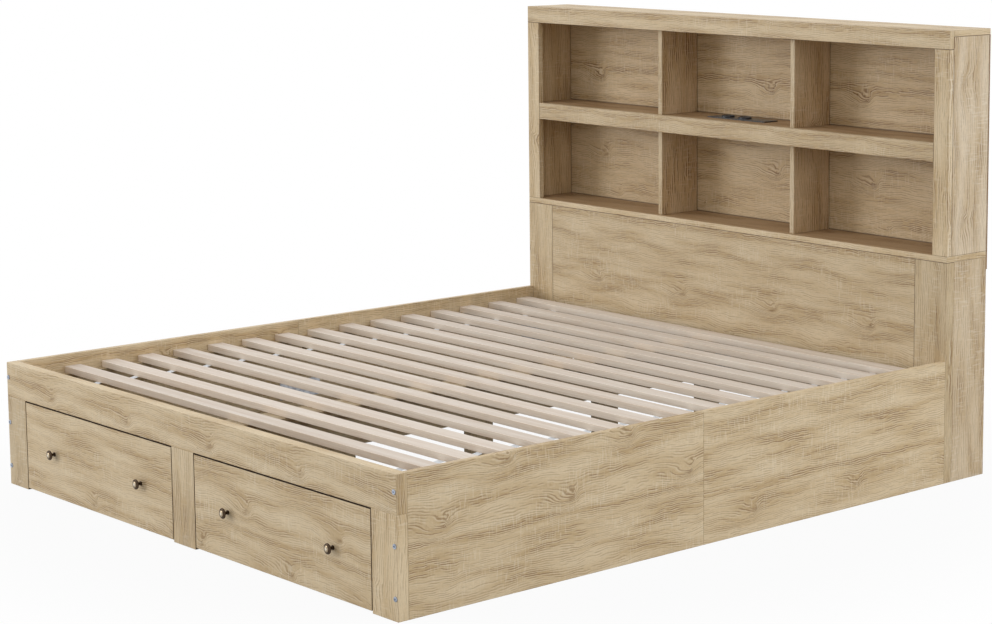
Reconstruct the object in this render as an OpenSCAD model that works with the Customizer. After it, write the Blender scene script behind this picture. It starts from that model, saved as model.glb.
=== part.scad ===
// Storage bed with two foot drawers on casters and a bookcase headboard.
// X runs across the bed, Y from the foot to the head, Z up from the floor.
// The origin is on the floor, under the middle of the whole bed, knobs included.
// Left and right are as seen from the foot: left is -X, right is +X.

/* [Mattress space] */
// Width of the mattress that the bed takes
mattress_w = 1930; // [1800:5:2000]
// Length of the mattress that the bed takes
mattress_l = 2032; // [1980:1:2140]
// Gap between the mattress and each side rail
mattress_side_gap = 6; // [2:0.5:15]
// Gap between the mattress and each end of the bed
mattress_end_gap = 10; // [4:0.5:25]
// Height of the top of the slats above the floor
deck_h = 345.5; // [325:0.5:360]

/* [Boards] */
// Thickness of the side rails, drawer fronts and bookcase boards
board_t = 19; // [16:0.5:22]
// Chamfer along the edges of every board
edge_break = 0.8; // [0.4:0.1:1.5]

/* [Footboard] */
// Height of the footboard and the side rails
frame_h = 381; // [370:1:420]
// Thickness of the footboard
foot_t = 34; // [28:1:40]
// Height of the footboard's top rail
foot_rail_h = 105; // [90:1:125]
// Width of each footboard post
foot_post_w = 108; // [90:1:130]
// Width of the stile between the two drawers
foot_stile_w = 112; // [90:1:130]
// Heights of the footboard bolts above the floor
bolt_heights = [59, 195, 335]; // [20:1:360]
// Diameter of a footboard bolt
bolt_d = 7; // [5:0.5:8]
// Length of a footboard bolt under its head
bolt_l = 85; // [60:1:110]
// Diameter of a bolt's head
bolt_head_d = 14; // [10:0.5:16]
// Height of a bolt's head
bolt_head_h = 2.4; // [1.5:0.1:4]
// Width across the flats of the socket in a bolt's head
bolt_socket_w = 5; // [4:0.5:6]
// Depth of that socket, which stays inside the head
bolt_socket_depth = 2; // [1:0.25:2.25]

/* [Side rails] */
// Length of the foot half of each side rail
rail_foot_l = 1027; // [900:1:1150]
// Length of a splice plate
splice_l = 160; // [120:1:240]
// Height of a splice plate
splice_h = 60; // [40:1:80]
// Height of a splice plate's centre above the floor
splice_z = 150; // [60:1:200]
// Width of a slat cleat
cleat_w = 30; // [20:1:45]
// Height of a slat cleat
cleat_h = 40; // [30:1:55]
// Gap at each end of a slat cleat
cleat_end_gap = 8; // [1:1:20]

/* [Slats] */
// Number of slats
slat_count = 16; // [12:1:18]
// Width of a slat
slat_w = 55; // [50:1:80]
// Thickness of a slat
slat_t = 20; // [16:1:26]
// Gap at each end of a slat
slat_end_gap = 1; // [0.5:0.5:4]
// Gap between the footboard and the first slat
slat_foot_gap = 22; // [5:1:60]
// Gap between the last slat and the headboard
slat_head_gap = 26.5; // [5:0.5:60]

/* [Slat tapes] */
// Width of the tapes under the slats
tape_w = 25; // [15:1:40]
// Thickness of a tape
tape_t = 1; // [0.6:0.1:2]
// How far a tape sags between two slats
tape_sag = 4; // [1:0.5:10]
// Distance from a side rail to the middle of a tape
tape_inset = 207; // [60:1:400]
// Distance from the edge of the first or last slat to the end of a tape
tape_end_inset = 8; // [4:1:20]

/* [Centre support] */
// Width of the beam's top board
beam_top_w = 100; // [70:1:140]
// Thickness of the beam's top board
beam_top_t = 20; // [16:1:26]
// Height of the beam's web
beam_web_h = 106; // [90:1:125]
// Thickness of the web and the legs
beam_web_t = 34; // [26:1:40]
// Length of a leg along the beam
leg_l = 88; // [80:1:140]
// Gap between the footboard and the first leg
leg_foot_gap = 455; // [300:1:480]
// Distance from one leg to the next, past the first
leg_pitch = 518; // [460:1:540]
// Gap between the last leg and the headboard
leg_head_gap = 17; // [5:1:60]
// Number of legs spaced from the foot
leg_row_count = 3; // [2:1:3]

/* [Steel brackets] */
// Thickness of the brackets and splice plates
bracket_t = 3; // [2:0.5:4]
// Length of each side of the beam's end brackets
beam_bracket_l = 38; // [30:1:38]
// Height of the beam's end brackets
beam_bracket_h = 50; // [40:1:50]
// Length of each side of the headboard's corner brackets
corner_bracket_l = 60; // [40:1:90]
// Height of the headboard's corner brackets
corner_bracket_h = 100; // [60:1:120]
// Height of a corner bracket's centre above the floor
corner_bracket_z = 215; // [120:1:220]
// Diameter of a wood screw
screw_d = 4; // [3:0.25:4.5]
// Length of a wood screw under its head
screw_l = 15; // [10:1:15]
// Diameter of a screw's head
screw_head_d = 7; // [6:0.25:8]
// Height of a screw's head
screw_head_h = 2.2; // [1.5:0.1:2.6]
// Clearance round a screw or a bolt in its hole
screw_clear = 0.05; // [0.03:0.01:0.2]

/* [Drawers] */
// Gap at each side of a drawer front
front_side_gap = 3.5; // [2:0.25:6]
// Gap above a drawer front
front_top_gap = 4.5; // [2:0.25:8]
// Gap between a drawer front and the floor
front_floor_gap = 6; // [3:0.5:12]
// Distance from the end of a drawer front to its box
box_inset = 30; // [15:1:60]
// Thickness of the sides and back of a drawer box
box_t = 15; // [12:0.5:18]
// Height of a drawer box's sides
box_h = 160; // [120:1:170]
// Gap between a drawer box's sides and the floor
box_floor_gap = 22; // [12:1:30]
// Length of a drawer box behind its front
box_l = 480; // [400:1:520]
// Thickness of a drawer's bottom panel
bottom_t = 6; // [3:0.5:8]
// Depth of the groove that holds the bottom panel
groove_depth = 6; // [4:0.5:8]
// Clearance round the bottom panel in its groove
groove_clear = 0.15; // [0.1:0.05:0.5]
// Length of the screws that hold a drawer box's back
box_screw_l = 40; // [30:1:50]
// Distance of those screws from the top and bottom edges of the box
box_screw_edge = 24; // [18:1:34]

/* [Knobs] */
// Diameter of a knob's head
knob_d = 30; // [24:0.5:36]
// How far a knob stands out from the drawer front
knob_h = 23; // [20:0.5:30]
// Diameter of a knob's neck
knob_neck_d = 8.5; // [7:0.5:11]
// Diameter of a knob's foot
knob_foot_d = 13; // [12:0.5:20]
// Distance between the two knobs of a drawer
knob_spread = 490; // [300:1:560]
// Depth of the screw hole in a knob
knob_hole_depth = 14; // [10:0.5:15]

/* [Casters] */
// Diameter of a caster wheel
wheel_d = 40; // [34:0.5:40]
// Width of a caster wheel
wheel_w = 16; // [12:0.5:20]
// Diameter of a caster's axle
axle_d = 6; // [4:0.5:7]
// Running clearance between the axle and the wheel
axle_clear = 0.05; // [0.03:0.01:0.1]
// Gap between the wheel and each cheek of its bracket
cheek_gap = 1; // [0.5:0.25:2]
// Thickness of a bracket's cheeks
cheek_t = 3; // [2:0.5:4]
// Width of a bracket's cheeks
cheek_w = 18; // [14:1:24]
// Overall height of a caster
caster_h = 46; // [44:0.5:52]
// Length of a caster's plate across the drawer
caster_plate_x = 48; // [46:1:60]
// Length of a caster's plate along the drawer
caster_plate_y = 52; // [44:1:58]
// Distance of a caster from the drawer's side board
caster_inset = 60; // [40:1:160]
// Distance from a caster plate's edge to its screws
caster_screw_edge = 7; // [6:0.5:8]
// Width of the batten that carries two casters
batten_w = 60; // [58:1:80]
// Thickness of that batten
batten_t = 18; // [16:1:24]
// Distance of a batten from the end of the drawer box
batten_inset = 20; // [5:1:60]

/* [Headboard base] */
// Height of the headboard's base, up to the bookcase
base_h = 687; // [600:1:760]
// Width of each base post
base_post_w = 128; // [100:1:160]
// Thickness of the base posts and panel
base_t = 34; // [28:1:40]
// Gap between the base panel and the floor
base_panel_gap = 165; // [120:1:180]

/* [Bookcase] */
// Height of the whole bed
total_h = 1394; // [1250:1:1500]
// Depth of the bookcase
case_depth = 190; // [160:1:260]
// Height of the bookcase's shelf above the floor
shelf_top = 1050; // [960:1:1120]
// Height of the top and shelf fascias
fascia_h = 57; // [45:1:80]
// Width of the bookcase's front stiles
stile_w = 60; // [40:1:80]
// Thickness of the back panel
back_t = 3.5; // [2.5:0.5:12]
// How far the back panel hangs below the bookcase
back_drop = 38; // [20:1:60]

/* [Charging unit] */
// Length of the charging unit's cover plate
charger_l = 270; // [200:1:320]
// Width of the charging unit's cover plate
charger_w = 64; // [60:1:90]
// Thickness of the cover plate
charger_t = 4; // [3:0.5:6]
// How far the cover plate overlaps the shelf
charger_lip = 8; // [5:0.5:9]
// Depth of the housing below the shelf's top
charger_depth = 44; // [36:1:60]
// Clearance round the housing in the shelf
charger_clear = 1; // [0.5:0.25:3]
// Diameter of an outlet's rim
outlet_d = 45; // [38:0.5:46]
// Height of an outlet's rim above the cover plate
outlet_h = 5; // [3:0.5:7]
// Distance between the two outlets
outlet_pitch = 80; // [60:1:100]
// Distance of the left outlet from the middle of the plate
outlet_offset = 67; // [55:1:75]

/* [Dowels] */
// Diameter of a dowel
dowel_d = 8; // [6:0.5:9]
// Length of a dowel, half in each board
dowel_l = 24; // [16:1:26]
// Clearance round a dowel in its holes
dowel_clear = 0.05; // [0.03:0.01:0.15]
// Distance of a dowel from the end of a narrow board
dowel_edge = 25; // [16:1:38]
// Distance of a dowel from the end of a long board
dowel_inset = 60; // [50:1:90]
// Distance between two dowels across the bookcase boards
dowel_pair = 90; // [60:1:120]

/* [Hidden] */
inner_w = mattress_w + 2 * mattress_side_gap;
inner_l = mattress_l + 2 * mattress_end_gap;
inner_x = inner_w / 2;
side_x = inner_x + board_t;
head_y = foot_t + inner_l;
back_y = head_y + case_depth;
mid_y = (back_y - knob_h) / 2;
opening_h = frame_h - foot_rail_h;
cleat_top = deck_h - slat_t;
split_y = foot_t + rail_foot_l;
bolt_x = side_x - board_t / 2;

slat_pitch = (inner_l - slat_foot_gap - slat_head_gap - slat_w) / (slat_count - 1);
slat_x = inner_x - slat_end_gap;
tape_steps = 6;

leg_h = cleat_top - beam_top_t - beam_web_h;
leg_row_y = foot_t + leg_foot_gap;
leg_last_y = head_y - leg_head_gap - leg_l;
leg_starts = [
    for (i = [0 : leg_row_count - 1]) leg_row_y + i * leg_pitch,
    leg_last_y
];
beam_bracket_z = leg_h + beam_web_h / 2;

front_x = [foot_stile_w / 2 + front_side_gap, side_x - foot_post_w - front_side_gap];
front_z = [front_floor_gap, opening_h - front_top_gap];
box_x = [front_x[0] + box_inset, front_x[1] - box_inset];
box_in_x = [box_x[0] + box_t, box_x[1] - box_t];
box_y = [board_t, board_t + box_l];
box_in_y = [board_t, board_t + box_l - box_t];
box_z = [box_floor_gap, box_floor_gap + box_h];
bottom_z = caster_h + batten_t;
knob_x = [for (s = [-1, 1]) (front_x[0] + front_x[1]) / 2 + s * knob_spread / 2];
knob_z = (front_z[0] + front_z[1]) / 2;
knob_screw_l = board_t + knob_hole_depth - 2;

batten_y = [box_in_y[0] + batten_inset, box_in_y[1] - batten_inset - batten_w];
wheel_r = wheel_d / 2;
axle_r = axle_d / 2;
cheek_x = wheel_w / 2 + cheek_gap;
axle_head_r = axle_r + 2;
axle_head_h = 1.5;
caster_x = [box_in_x[0] + caster_inset, box_in_x[1] - caster_inset];
caster_screw_x = caster_plate_x / 2 - caster_screw_edge;
caster_screw_y = caster_plate_y / 2 - caster_screw_edge;

base_post_in_x = side_x - base_post_w;
case_y = [head_y + board_t, back_y - back_t];
case_mid_y = (case_y[0] + case_y[1]) / 2;
case_floor = base_h + board_t;
case_roof = total_h - board_t;
bay_w = (2 * side_x - 2 * stile_w - 2 * board_t) / 3;
divider_x = bay_w / 2 + board_t / 2;

charger_y = case_mid_y;
housing_l = charger_l - 2 * charger_lip;
housing_w = charger_w - 2 * charger_lip;
outlet_x = [-outlet_offset, outlet_pitch - outlet_offset];
outlet_rim = 2.5;
outlet_face_drop = 2;

screw_r = screw_d / 2;
fine = 64;
oak = [0.77, 0.70, 0.59];
oak_shade = [0.62, 0.53, 0.42];
pale_wood = [0.85, 0.79, 0.73];
tape_white = [0.90, 0.91, 0.92];
steel = [0.66, 0.67, 0.69];
pewter = [0.56, 0.56, 0.56];
black = [0.07, 0.07, 0.08];
grey_plastic = [0.30, 0.30, 0.31];

// A rectangle with its four corners cut back.
module cut_rectangle(w, h) {
    c = edge_break;
    polygon([[c, 0], [w - c, 0], [w, c], [w, h - c], [w - c, h], [c, h], [0, h - c], [0, c]]);
}

// A board between two X, two Y and two Z values, with every edge chamfered.
module board(x, y, z) {
    w = x[1] - x[0];
    l = y[1] - y[0];
    h = z[1] - z[0];
    translate([x[0], y[0] - mid_y, z[0]])
        intersection() {
            linear_extrude(h) cut_rectangle(w, l);
            translate([0, l, 0]) rotate([90, 0, 0]) linear_extrude(l) cut_rectangle(w, h);
            rotate([90, 0, 90]) linear_extrude(w) cut_rectangle(l, h);
        }
}

// A block between two X, two Y and two Z values, with sharp edges.
module block(x, y, z) {
    translate([x[0], y[0] - mid_y, z[0]]) cube([x[1] - x[0], y[1] - y[0], z[1] - z[0]]);
}

// Mirrors what is drawn for the right side to the left where side is -1.
module on_side(side) {
    if (side < 0) mirror([1, 0, 0]) children();
    else children();
}

// Places a child with its own +Z along +X, -X, +Y or -Y at a point of the bed.
module along_x(p) { translate([p.x, p.y - mid_y, p.z]) rotate([0, 90, 0]) children(); }
module against_x(p) { translate([p.x, p.y - mid_y, p.z]) rotate([0, -90, 0]) children(); }
module along_y(p) { translate([p.x, p.y - mid_y, p.z]) rotate([-90, 0, 0]) children(); }
module against_y(p) { translate([p.x, p.y - mid_y, p.z]) rotate([90, 0, 0]) children(); }
module upright(p) { translate([p.x, p.y - mid_y, p.z]) children(); }

// A dome-headed fastener whose shank runs up +Z from the head's underside at 0.
module fastener(shank_r, shank_l, head_r, head_h) {
    crown = head_h / 3;
    cylinder(h = shank_l, r = shank_r, $fn = fine);
    rotate_extrude($fn = fine)
        polygon([
            [0, -head_h], [head_r - crown, -head_h], [head_r, -head_h + crown], [head_r, 0], [0, 0]
        ]);
}

// The hole that such a fastener's shank fits, starting a little before 0.
module fastener_hole(shank_r, depth) {
    translate([0, 0, -1]) cylinder(h = depth + 1, r = shank_r + screw_clear, $fn = fine);
}

module wood_screw() { fastener(screw_r, screw_l, screw_head_d / 2, screw_head_h); }
module screw_hole() { fastener_hole(screw_r, screw_l + 1); }

// Footboard

module footboard_bolt_places() {
    for (s = [-1, 1]) {
        for (z = bolt_heights) along_y([s * bolt_x, 0, z]) children();
    }
}

module footboard_bolt_holes() {
    footboard_bolt_places() fastener_hole(bolt_d / 2, bolt_l + 1);
}

module footboard_top_rail() {
    color(oak) difference() {
        board([-side_x, side_x], [0, foot_t], [opening_h, frame_h]);
        footboard_bolt_holes();
        footboard_dowel_holes();
    }
}

module footboard_post(side) {
    color(oak) difference() {
        on_side(side) board([side_x - foot_post_w, side_x], [0, foot_t], [0, opening_h]);
        footboard_bolt_holes();
        footboard_dowel_holes();
    }
}

module footboard_centre_stile() {
    half = foot_stile_w / 2;
    color(oak) difference() {
        board([-half, half], [0, foot_t], [0, opening_h]);
        beam_bracket_screw_places() screw_hole();
        footboard_dowel_holes();
    }
}

module bolt_socket() {
    across_corners = bolt_socket_w / cos(30);
    translate([0, 0, -bolt_head_h - 1]) cylinder(h = bolt_socket_depth + 1, d = across_corners, $fn = 6);
}

module footboard_bolts() {
    color(steel) footboard_bolt_places() difference() {
        fastener(bolt_d / 2, bolt_l, bolt_head_d / 2, bolt_head_h);
        bolt_socket();
    }
}

// Side rails

module side_rail(side, y) {
    color(oak) difference() {
        on_side(side) board([inner_x, side_x], y, [0, frame_h]);
        footboard_bolt_holes();
        splice_screw_places() screw_hole();
        corner_bracket_screw_places() screw_hole();
    }
}

module side_rail_foot(side) { side_rail(side, [foot_t, split_y]); }
module side_rail_head(side) { side_rail(side, [split_y, head_y]); }

module slat_cleats() {
    x = [inner_x - cleat_w, inner_x];
    z = [cleat_top - cleat_h, cleat_top];
    for (side = [-1, 1]) {
        color(pale_wood) on_side(side) {
            board(x, [foot_t + cleat_end_gap, split_y - cleat_end_gap], z);
            board(x, [split_y + cleat_end_gap, head_y - cleat_end_gap], z);
        }
    }
}

// Steel plates, brackets and their screws

splice_screw_y = [-3, -1, 1, 3] * splice_l / 8;
bracket_z_steps = [-1, 1] / 4;

module splice_screw_places() {
    for (side = [-1, 1]) {
        for (dy = splice_screw_y) {
            on_side(side) along_x([inner_x - bracket_t, split_y + dy, splice_z]) children();
        }
    }
}

module corner_bracket_screw_places() {
    for (side = [-1, 1]) {
        for (k = bracket_z_steps) {
            z = corner_bracket_z + k * corner_bracket_h;
            middle = corner_bracket_l / 2;
            on_side(side) along_x([inner_x - bracket_t, head_y - middle, z]) children();
            on_side(side) along_y([inner_x - middle, head_y - bracket_t, z]) children();
        }
    }
}

module beam_bracket_screw_places() {
    x = beam_web_t / 2;
    middle = beam_bracket_l / 2;
    for (side = [-1, 1]) {
        for (k = bracket_z_steps) {
            z = beam_bracket_z + k * beam_bracket_h;
            on_side(side) against_x([x + bracket_t, foot_t + middle, z]) children();
            on_side(side) against_x([x + bracket_t, head_y - middle, z]) children();
            on_side(side) against_y([x + middle, foot_t + bracket_t, z]) children();
            on_side(side) along_y([x + middle, head_y - bracket_t, z]) children();
        }
    }
}

module bracket_screw_places() {
    splice_screw_places() children();
    corner_bracket_screw_places() children();
    beam_bracket_screw_places() children();
}

module rail_splice_plates() {
    y = [split_y - splice_l / 2, split_y + splice_l / 2];
    z = [splice_z - splice_h / 2, splice_z + splice_h / 2];
    for (side = [-1, 1]) {
        color(steel) difference() {
            on_side(side) block([inner_x - bracket_t, inner_x], y, z);
            splice_screw_places() screw_hole();
        }
    }
}

module headboard_corner_brackets() {
    z = [corner_bracket_z - corner_bracket_h / 2, corner_bracket_z + corner_bracket_h / 2];
    block([inner_x - bracket_t, inner_x], [head_y - corner_bracket_l, head_y], z);
    block([inner_x - corner_bracket_l, inner_x], [head_y - bracket_t, head_y], z);
}

module beam_end_brackets() {
    x = beam_web_t / 2;
    z = [beam_bracket_z - beam_bracket_h / 2, beam_bracket_z + beam_bracket_h / 2];
    block([x, x + bracket_t], [foot_t, foot_t + beam_bracket_l], z);
    block([x, x + beam_bracket_l], [foot_t, foot_t + bracket_t], z);
    block([x, x + bracket_t], [head_y - beam_bracket_l, head_y], z);
    block([x, x + beam_bracket_l], [head_y - bracket_t, head_y], z);
}

module angle_brackets() {
    for (side = [-1, 1]) {
        color(steel) difference() {
            on_side(side) {
                headboard_corner_brackets();
                beam_end_brackets();
            }
            corner_bracket_screw_places() screw_hole();
            beam_bracket_screw_places() screw_hole();
        }
    }
}

module steel_brackets() {
    rail_splice_plates();
    angle_brackets();
}

module bracket_screws() { color(steel) bracket_screw_places() wood_screw(); }

// Dowels across the joints between boards, half in each

function spread(a, b, n) = [for (i = [0 : n - 1]) a + (b - a) * i / (n - 1)];

module footboard_dowel_places() {
    y = foot_t / 2;
    for (s = [-1, 1]) {
        upright([s * (side_x - dowel_edge), y, opening_h]) children();
        upright([s * (side_x - foot_post_w + dowel_edge), y, opening_h]) children();
        upright([s * (foot_stile_w / 2 - dowel_edge), y, opening_h]) children();
    }
}

module base_dowel_places() {
    y = head_y + base_t / 2;
    x_end = base_post_in_x - dowel_inset;
    for (s = [-1, 1]) {
        for (z = spread(base_panel_gap + dowel_inset, base_h - dowel_inset, 3)) {
            along_x([s * base_post_in_x, y, z]) children();
        }
        for (z = spread(dowel_inset, base_h - dowel_inset, 4)) {
            along_y([s * bolt_x, head_y + base_t, z]) children();
        }
        for (k = [1, 2]) upright([s * (base_post_in_x + k * dowel_edge), y, base_h]) children();
        for (k = [-1, 1]) upright([s * bolt_x, case_mid_y + k * dowel_pair / 4, base_h]) children();
    }
    for (x = spread(-x_end, x_end, 6)) upright([x, y, base_h]) children();
}

module bookcase_dowel_places() {
    front_y = head_y + board_t;
    stile_in_x = side_x - stile_w;
    fascia_z = total_h - fascia_h;
    shelf_z = shelf_top - board_t / 2;
    x_end = stile_in_x - dowel_inset;
    for (s = [-1, 1]) {
        for (k = [-1, 1]) {
            y = case_mid_y + k * dowel_pair / 2;
            for (x = [s * bolt_x, s * divider_x]) {
                for (z = [case_floor, case_roof]) upright([x, y, z]) children();
            }
            along_x([s * inner_x, y, shelf_z]) children();
            upright([s * divider_x, y, shelf_top]) children();
            upright([s * divider_x, case_mid_y + k * dowel_pair / 4, shelf_top - board_t]) children();
        }
        for (z = spread(case_floor + dowel_inset, fascia_z - dowel_inset, 3)) {
            along_y([s * bolt_x, front_y, z]) children();
        }
        for (z = [case_floor, fascia_z]) {
            upright([s * (side_x - stile_w / 2), head_y + board_t / 2, z]) children();
        }
        along_x([s * stile_in_x, head_y + board_t / 2, shelf_top - fascia_h / 2]) children();
    }
    for (x = spread(-x_end, x_end, 6)) {
        along_y([x, front_y, shelf_z]) children();
        along_y([x, front_y, case_roof + board_t / 2]) children();
    }
}

module dowel_hole() { cylinder(h = dowel_l + 2, r = dowel_d / 2 + dowel_clear, center = true, $fn = fine); }
module footboard_dowel_holes() { footboard_dowel_places() dowel_hole(); }
module base_dowel_holes() { base_dowel_places() dowel_hole(); }
module bookcase_dowel_holes() { bookcase_dowel_places() dowel_hole(); }

module dowel() { cylinder(h = dowel_l, r = dowel_d / 2, center = true, $fn = fine); }

module dowels() {
    color(pale_wood) {
        footboard_dowel_places() dowel();
        base_dowel_places() dowel();
        bookcase_dowel_places() dowel();
    }
}

// Slats and centre support

function slat_y(i) = foot_t + slat_foot_gap + i * slat_pitch;

module slats() {
    for (i = [0 : slat_count - 1]) {
        y = [slat_y(i), slat_y(i) + slat_w];
        color(pale_wood) board([-slat_x, slat_x], y, [cleat_top, deck_h]);
    }
}

// The upper face of a tape from the foot to the head, which hangs in a shallow curve in each gap.
function tape_line() = [
    [slat_y(0) + tape_end_inset, cleat_top],
    for (i = [0 : slat_count - 2], k = [0 : tape_steps])
        let (u = k / tape_steps)
            [slat_y(i) + slat_w + u * (slat_pitch - slat_w), cleat_top - 4 * tape_sag * u * (1 - u)],
    [slat_y(slat_count - 1) + slat_w - tape_end_inset, cleat_top]
];

module slat_tapes() {
    top = tape_line();
    under = [for (i = [len(top) - 1 : -1 : 0]) top[i] - [0, tape_t]];
    x = inner_x - tape_inset - tape_w / 2;
    for (side = [-1, 1]) {
        color(tape_white) on_side(side)
            translate([x, -mid_y, 0]) rotate([90, 0, 90]) linear_extrude(tape_w) polygon(concat(top, under));
    }
}

module centre_beam_top() {
    half = beam_top_w / 2;
    color(oak_shade) board([-half, half], [foot_t, head_y], [cleat_top - beam_top_t, cleat_top]);
}

module centre_beam_web() {
    half = beam_web_t / 2;
    color(oak_shade) difference() {
        board([-half, half], [foot_t, head_y], [leg_h, leg_h + beam_web_h]);
        beam_bracket_screw_places() screw_hole();
    }
}

module centre_legs() {
    half = beam_web_t / 2;
    for (y = leg_starts) {
        color(oak_shade) board([-half, half], [y, y + leg_l], [0, leg_h]);
    }
}

// Headboard base

module headboard_post(side) {
    color(oak) difference() {
        on_side(side) board([base_post_in_x, side_x], [head_y, head_y + base_t], [0, base_h]);
        corner_bracket_screw_places() screw_hole();
        base_dowel_holes();
    }
}

module headboard_panel() {
    color(oak) difference() {
        board([-base_post_in_x, base_post_in_x], [head_y, head_y + base_t], [base_panel_gap, base_h]);
        beam_bracket_screw_places() screw_hole();
        base_dowel_holes();
    }
}

module headboard_base_side(side) {
    color(oak) on_side(side) difference() {
        board([inner_x, side_x], [head_y + base_t, back_y - back_t], [0, base_h]);
        base_dowel_holes();
    }
}

// Bookcase

module bookcase_bottom() {
    color(oak) difference() {
        board([-side_x, side_x], [head_y, back_y - back_t], [base_h, case_floor]);
        base_dowel_holes();
        bookcase_dowel_holes();
    }
}

module bookcase_side(side) {
    color(oak) difference() {
        on_side(side) board([inner_x, side_x], case_y, [case_floor, case_roof]);
        bookcase_dowel_holes();
    }
}

module bookcase_top() {
    color(oak) difference() {
        board([-side_x, side_x], [head_y + board_t, back_y], [case_roof, total_h]);
        bookcase_dowel_holes();
    }
}

module bookcase_back() {
    color(oak) block([-side_x, side_x], [back_y - back_t, back_y], [base_h - back_drop, case_roof]);
}

module bookcase_stile(side) {
    x = [side_x - stile_w, side_x];
    z = [case_floor, total_h - fascia_h];
    color(oak) difference() {
        on_side(side) board(x, [head_y, head_y + board_t], z);
        bookcase_dowel_holes();
    }
}

module bookcase_top_fascia() {
    z = [total_h - fascia_h, total_h];
    color(oak) difference() {
        board([-side_x, side_x], [head_y, head_y + board_t], z);
        bookcase_dowel_holes();
    }
}

module bookcase_shelf_fascia() {
    x = side_x - stile_w;
    color(oak) difference() {
        board([-x, x], [head_y, head_y + board_t], [shelf_top - fascia_h, shelf_top]);
        bookcase_dowel_holes();
    }
}

module bookcase_shelf() {
    hole_x = housing_l / 2 + charger_clear;
    hole_y = housing_w / 2 + charger_clear;
    color(oak) difference() {
        board([-inner_x, inner_x], case_y, [shelf_top - board_t, shelf_top]);
        block(
            [-hole_x, hole_x],
            [charger_y - hole_y, charger_y + hole_y],
            [shelf_top - board_t - 1, shelf_top + 1]
        );
        bookcase_dowel_holes();
    }
}

module bookcase_dividers() {
    for (s = [-1, 1]) {
        x = [s * divider_x - board_t / 2, s * divider_x + board_t / 2];
        color(oak) difference() {
            board(x, case_y, [case_floor, shelf_top - board_t]);
            bookcase_dowel_holes();
        }
        color(oak) difference() {
            board(x, case_y, [shelf_top, case_roof]);
            bookcase_dowel_holes();
        }
    }
}

// Charging unit

blade_slot = [2.4, 8.5];
blade_spacing = 12.7;
ground_d = 5;
slot_floor = 1;
usb_slot = [13, 5.5, 2.5];
usb_pitch = 20;
usb_end = 45;

module outlet_pockets() {
    floor_z = charger_t + outlet_h - outlet_face_drop;
    slot_h = floor_z - slot_floor;
    translate([0, 0, floor_z])
        cylinder(h = outlet_face_drop + 1, r = outlet_d / 2 - outlet_rim, $fn = fine);
    for (s = [-1, 1]) {
        translate([s * blade_spacing / 2 - blade_slot.x / 2, -blade_slot.y / 2, slot_floor])
            cube([blade_slot.x, blade_slot.y, slot_h + 1]);
    }
    translate([0, -ground_d - blade_slot.y / 2, slot_floor]) {
        cylinder(h = slot_h + 1, r = ground_d / 2, $fn = fine);
        translate([-ground_d / 2, 0, 0]) cube([ground_d, ground_d / 2, slot_h + 1]);
    }
}

module usb_pockets() {
    for (s = [-1, 1]) {
        x = charger_l / 2 - usb_end - usb_slot.x / 2;
        y = s * usb_pitch / 2 - usb_slot.y / 2;
        upright([x, charger_y + y, shelf_top + charger_t - usb_slot.z])
            cube([usb_slot.x, usb_slot.y, usb_slot.z + 1]);
    }
}

module charging_unit_plate() {
    half_l = charger_l / 2;
    half_w = charger_w / 2;
    y = [charger_y - half_w, charger_y + half_w];
    color(black) difference() {
        union() {
            board([-half_l, half_l], y, [shelf_top, shelf_top + charger_t]);
            for (x = outlet_x) {
                upright([x, charger_y, shelf_top + charger_t / 2])
                    cylinder(h = charger_t / 2 + outlet_h, r = outlet_d / 2, $fn = fine);
            }
        }
        for (x = outlet_x) upright([x, charger_y, shelf_top]) outlet_pockets();
        usb_pockets();
    }
}

inlet_w = 20;
inlet_h = 11;
inlet_depth = 12;
inlet_pin_d = 2.4;
inlet_pin_spacing = 8.4;

module charging_unit_housing() {
    half_l = housing_l / 2;
    half_w = housing_w / 2;
    rear_y = charger_y + half_w;
    inlet_z = shelf_top - (charger_depth + board_t) / 2;
    color(black) {
        difference() {
            board([-half_l, half_l], [charger_y - half_w, rear_y], [shelf_top - charger_depth, shelf_top]);
            block(
                [-inlet_w / 2, inlet_w / 2],
                [rear_y - inlet_depth, rear_y + 1],
                [inlet_z - inlet_h / 2, inlet_z + inlet_h / 2]
            );
        }
        for (s = [-1, 1]) {
            along_y([s * inlet_pin_spacing / 2, rear_y - inlet_depth - 1, inlet_z])
                cylinder(h = inlet_depth, r = inlet_pin_d / 2, $fn = fine);
        }
    }
}

// Drawers, drawn for the right side and mirrored to the left

// The slot that the bottom panel slides into, cut from the boards around it.
module bottom_groove() {
    x = [box_in_x[0] - groove_depth, box_in_x[1] + groove_depth];
    y = [box_in_y[0] - groove_depth, box_in_y[1] + groove_depth];
    block(x, y, [bottom_z, bottom_z + bottom_t + groove_clear]);
}

module knob_places() {
    for (x = knob_x) against_y([x, 0, knob_z]) children();
}

module knob_screw_places() {
    for (x = knob_x) against_y([x, board_t, knob_z]) children();
}

module box_screw_places() {
    y = (box_in_y[1] + box_y[1]) / 2;
    for (z = [box_z[0] + box_screw_edge, box_z[1] - box_screw_edge]) {
        along_x([box_x[0], y, z]) children();
        against_x([box_x[1], y, z]) children();
    }
}

module box_screw_hole() { fastener_hole(screw_r, box_screw_l + 1); }

module caster_places() {
    for (x = caster_x) {
        for (y = batten_y) upright([x, y + batten_w / 2, 0]) children();
    }
}

module caster_screw_places() {
    caster_places() {
        for (sx = [-1, 1]) {
            for (sy = [-1, 1]) {
                translate([sx * caster_screw_x, sy * caster_screw_y, caster_h - bracket_t]) children();
            }
        }
    }
}

module drawer_front(side) {
    color(oak) on_side(side) difference() {
        board(front_x, [0, board_t], front_z);
        bottom_groove();
        knob_screw_places() fastener_hole(screw_r, knob_screw_l);
    }
}

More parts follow.
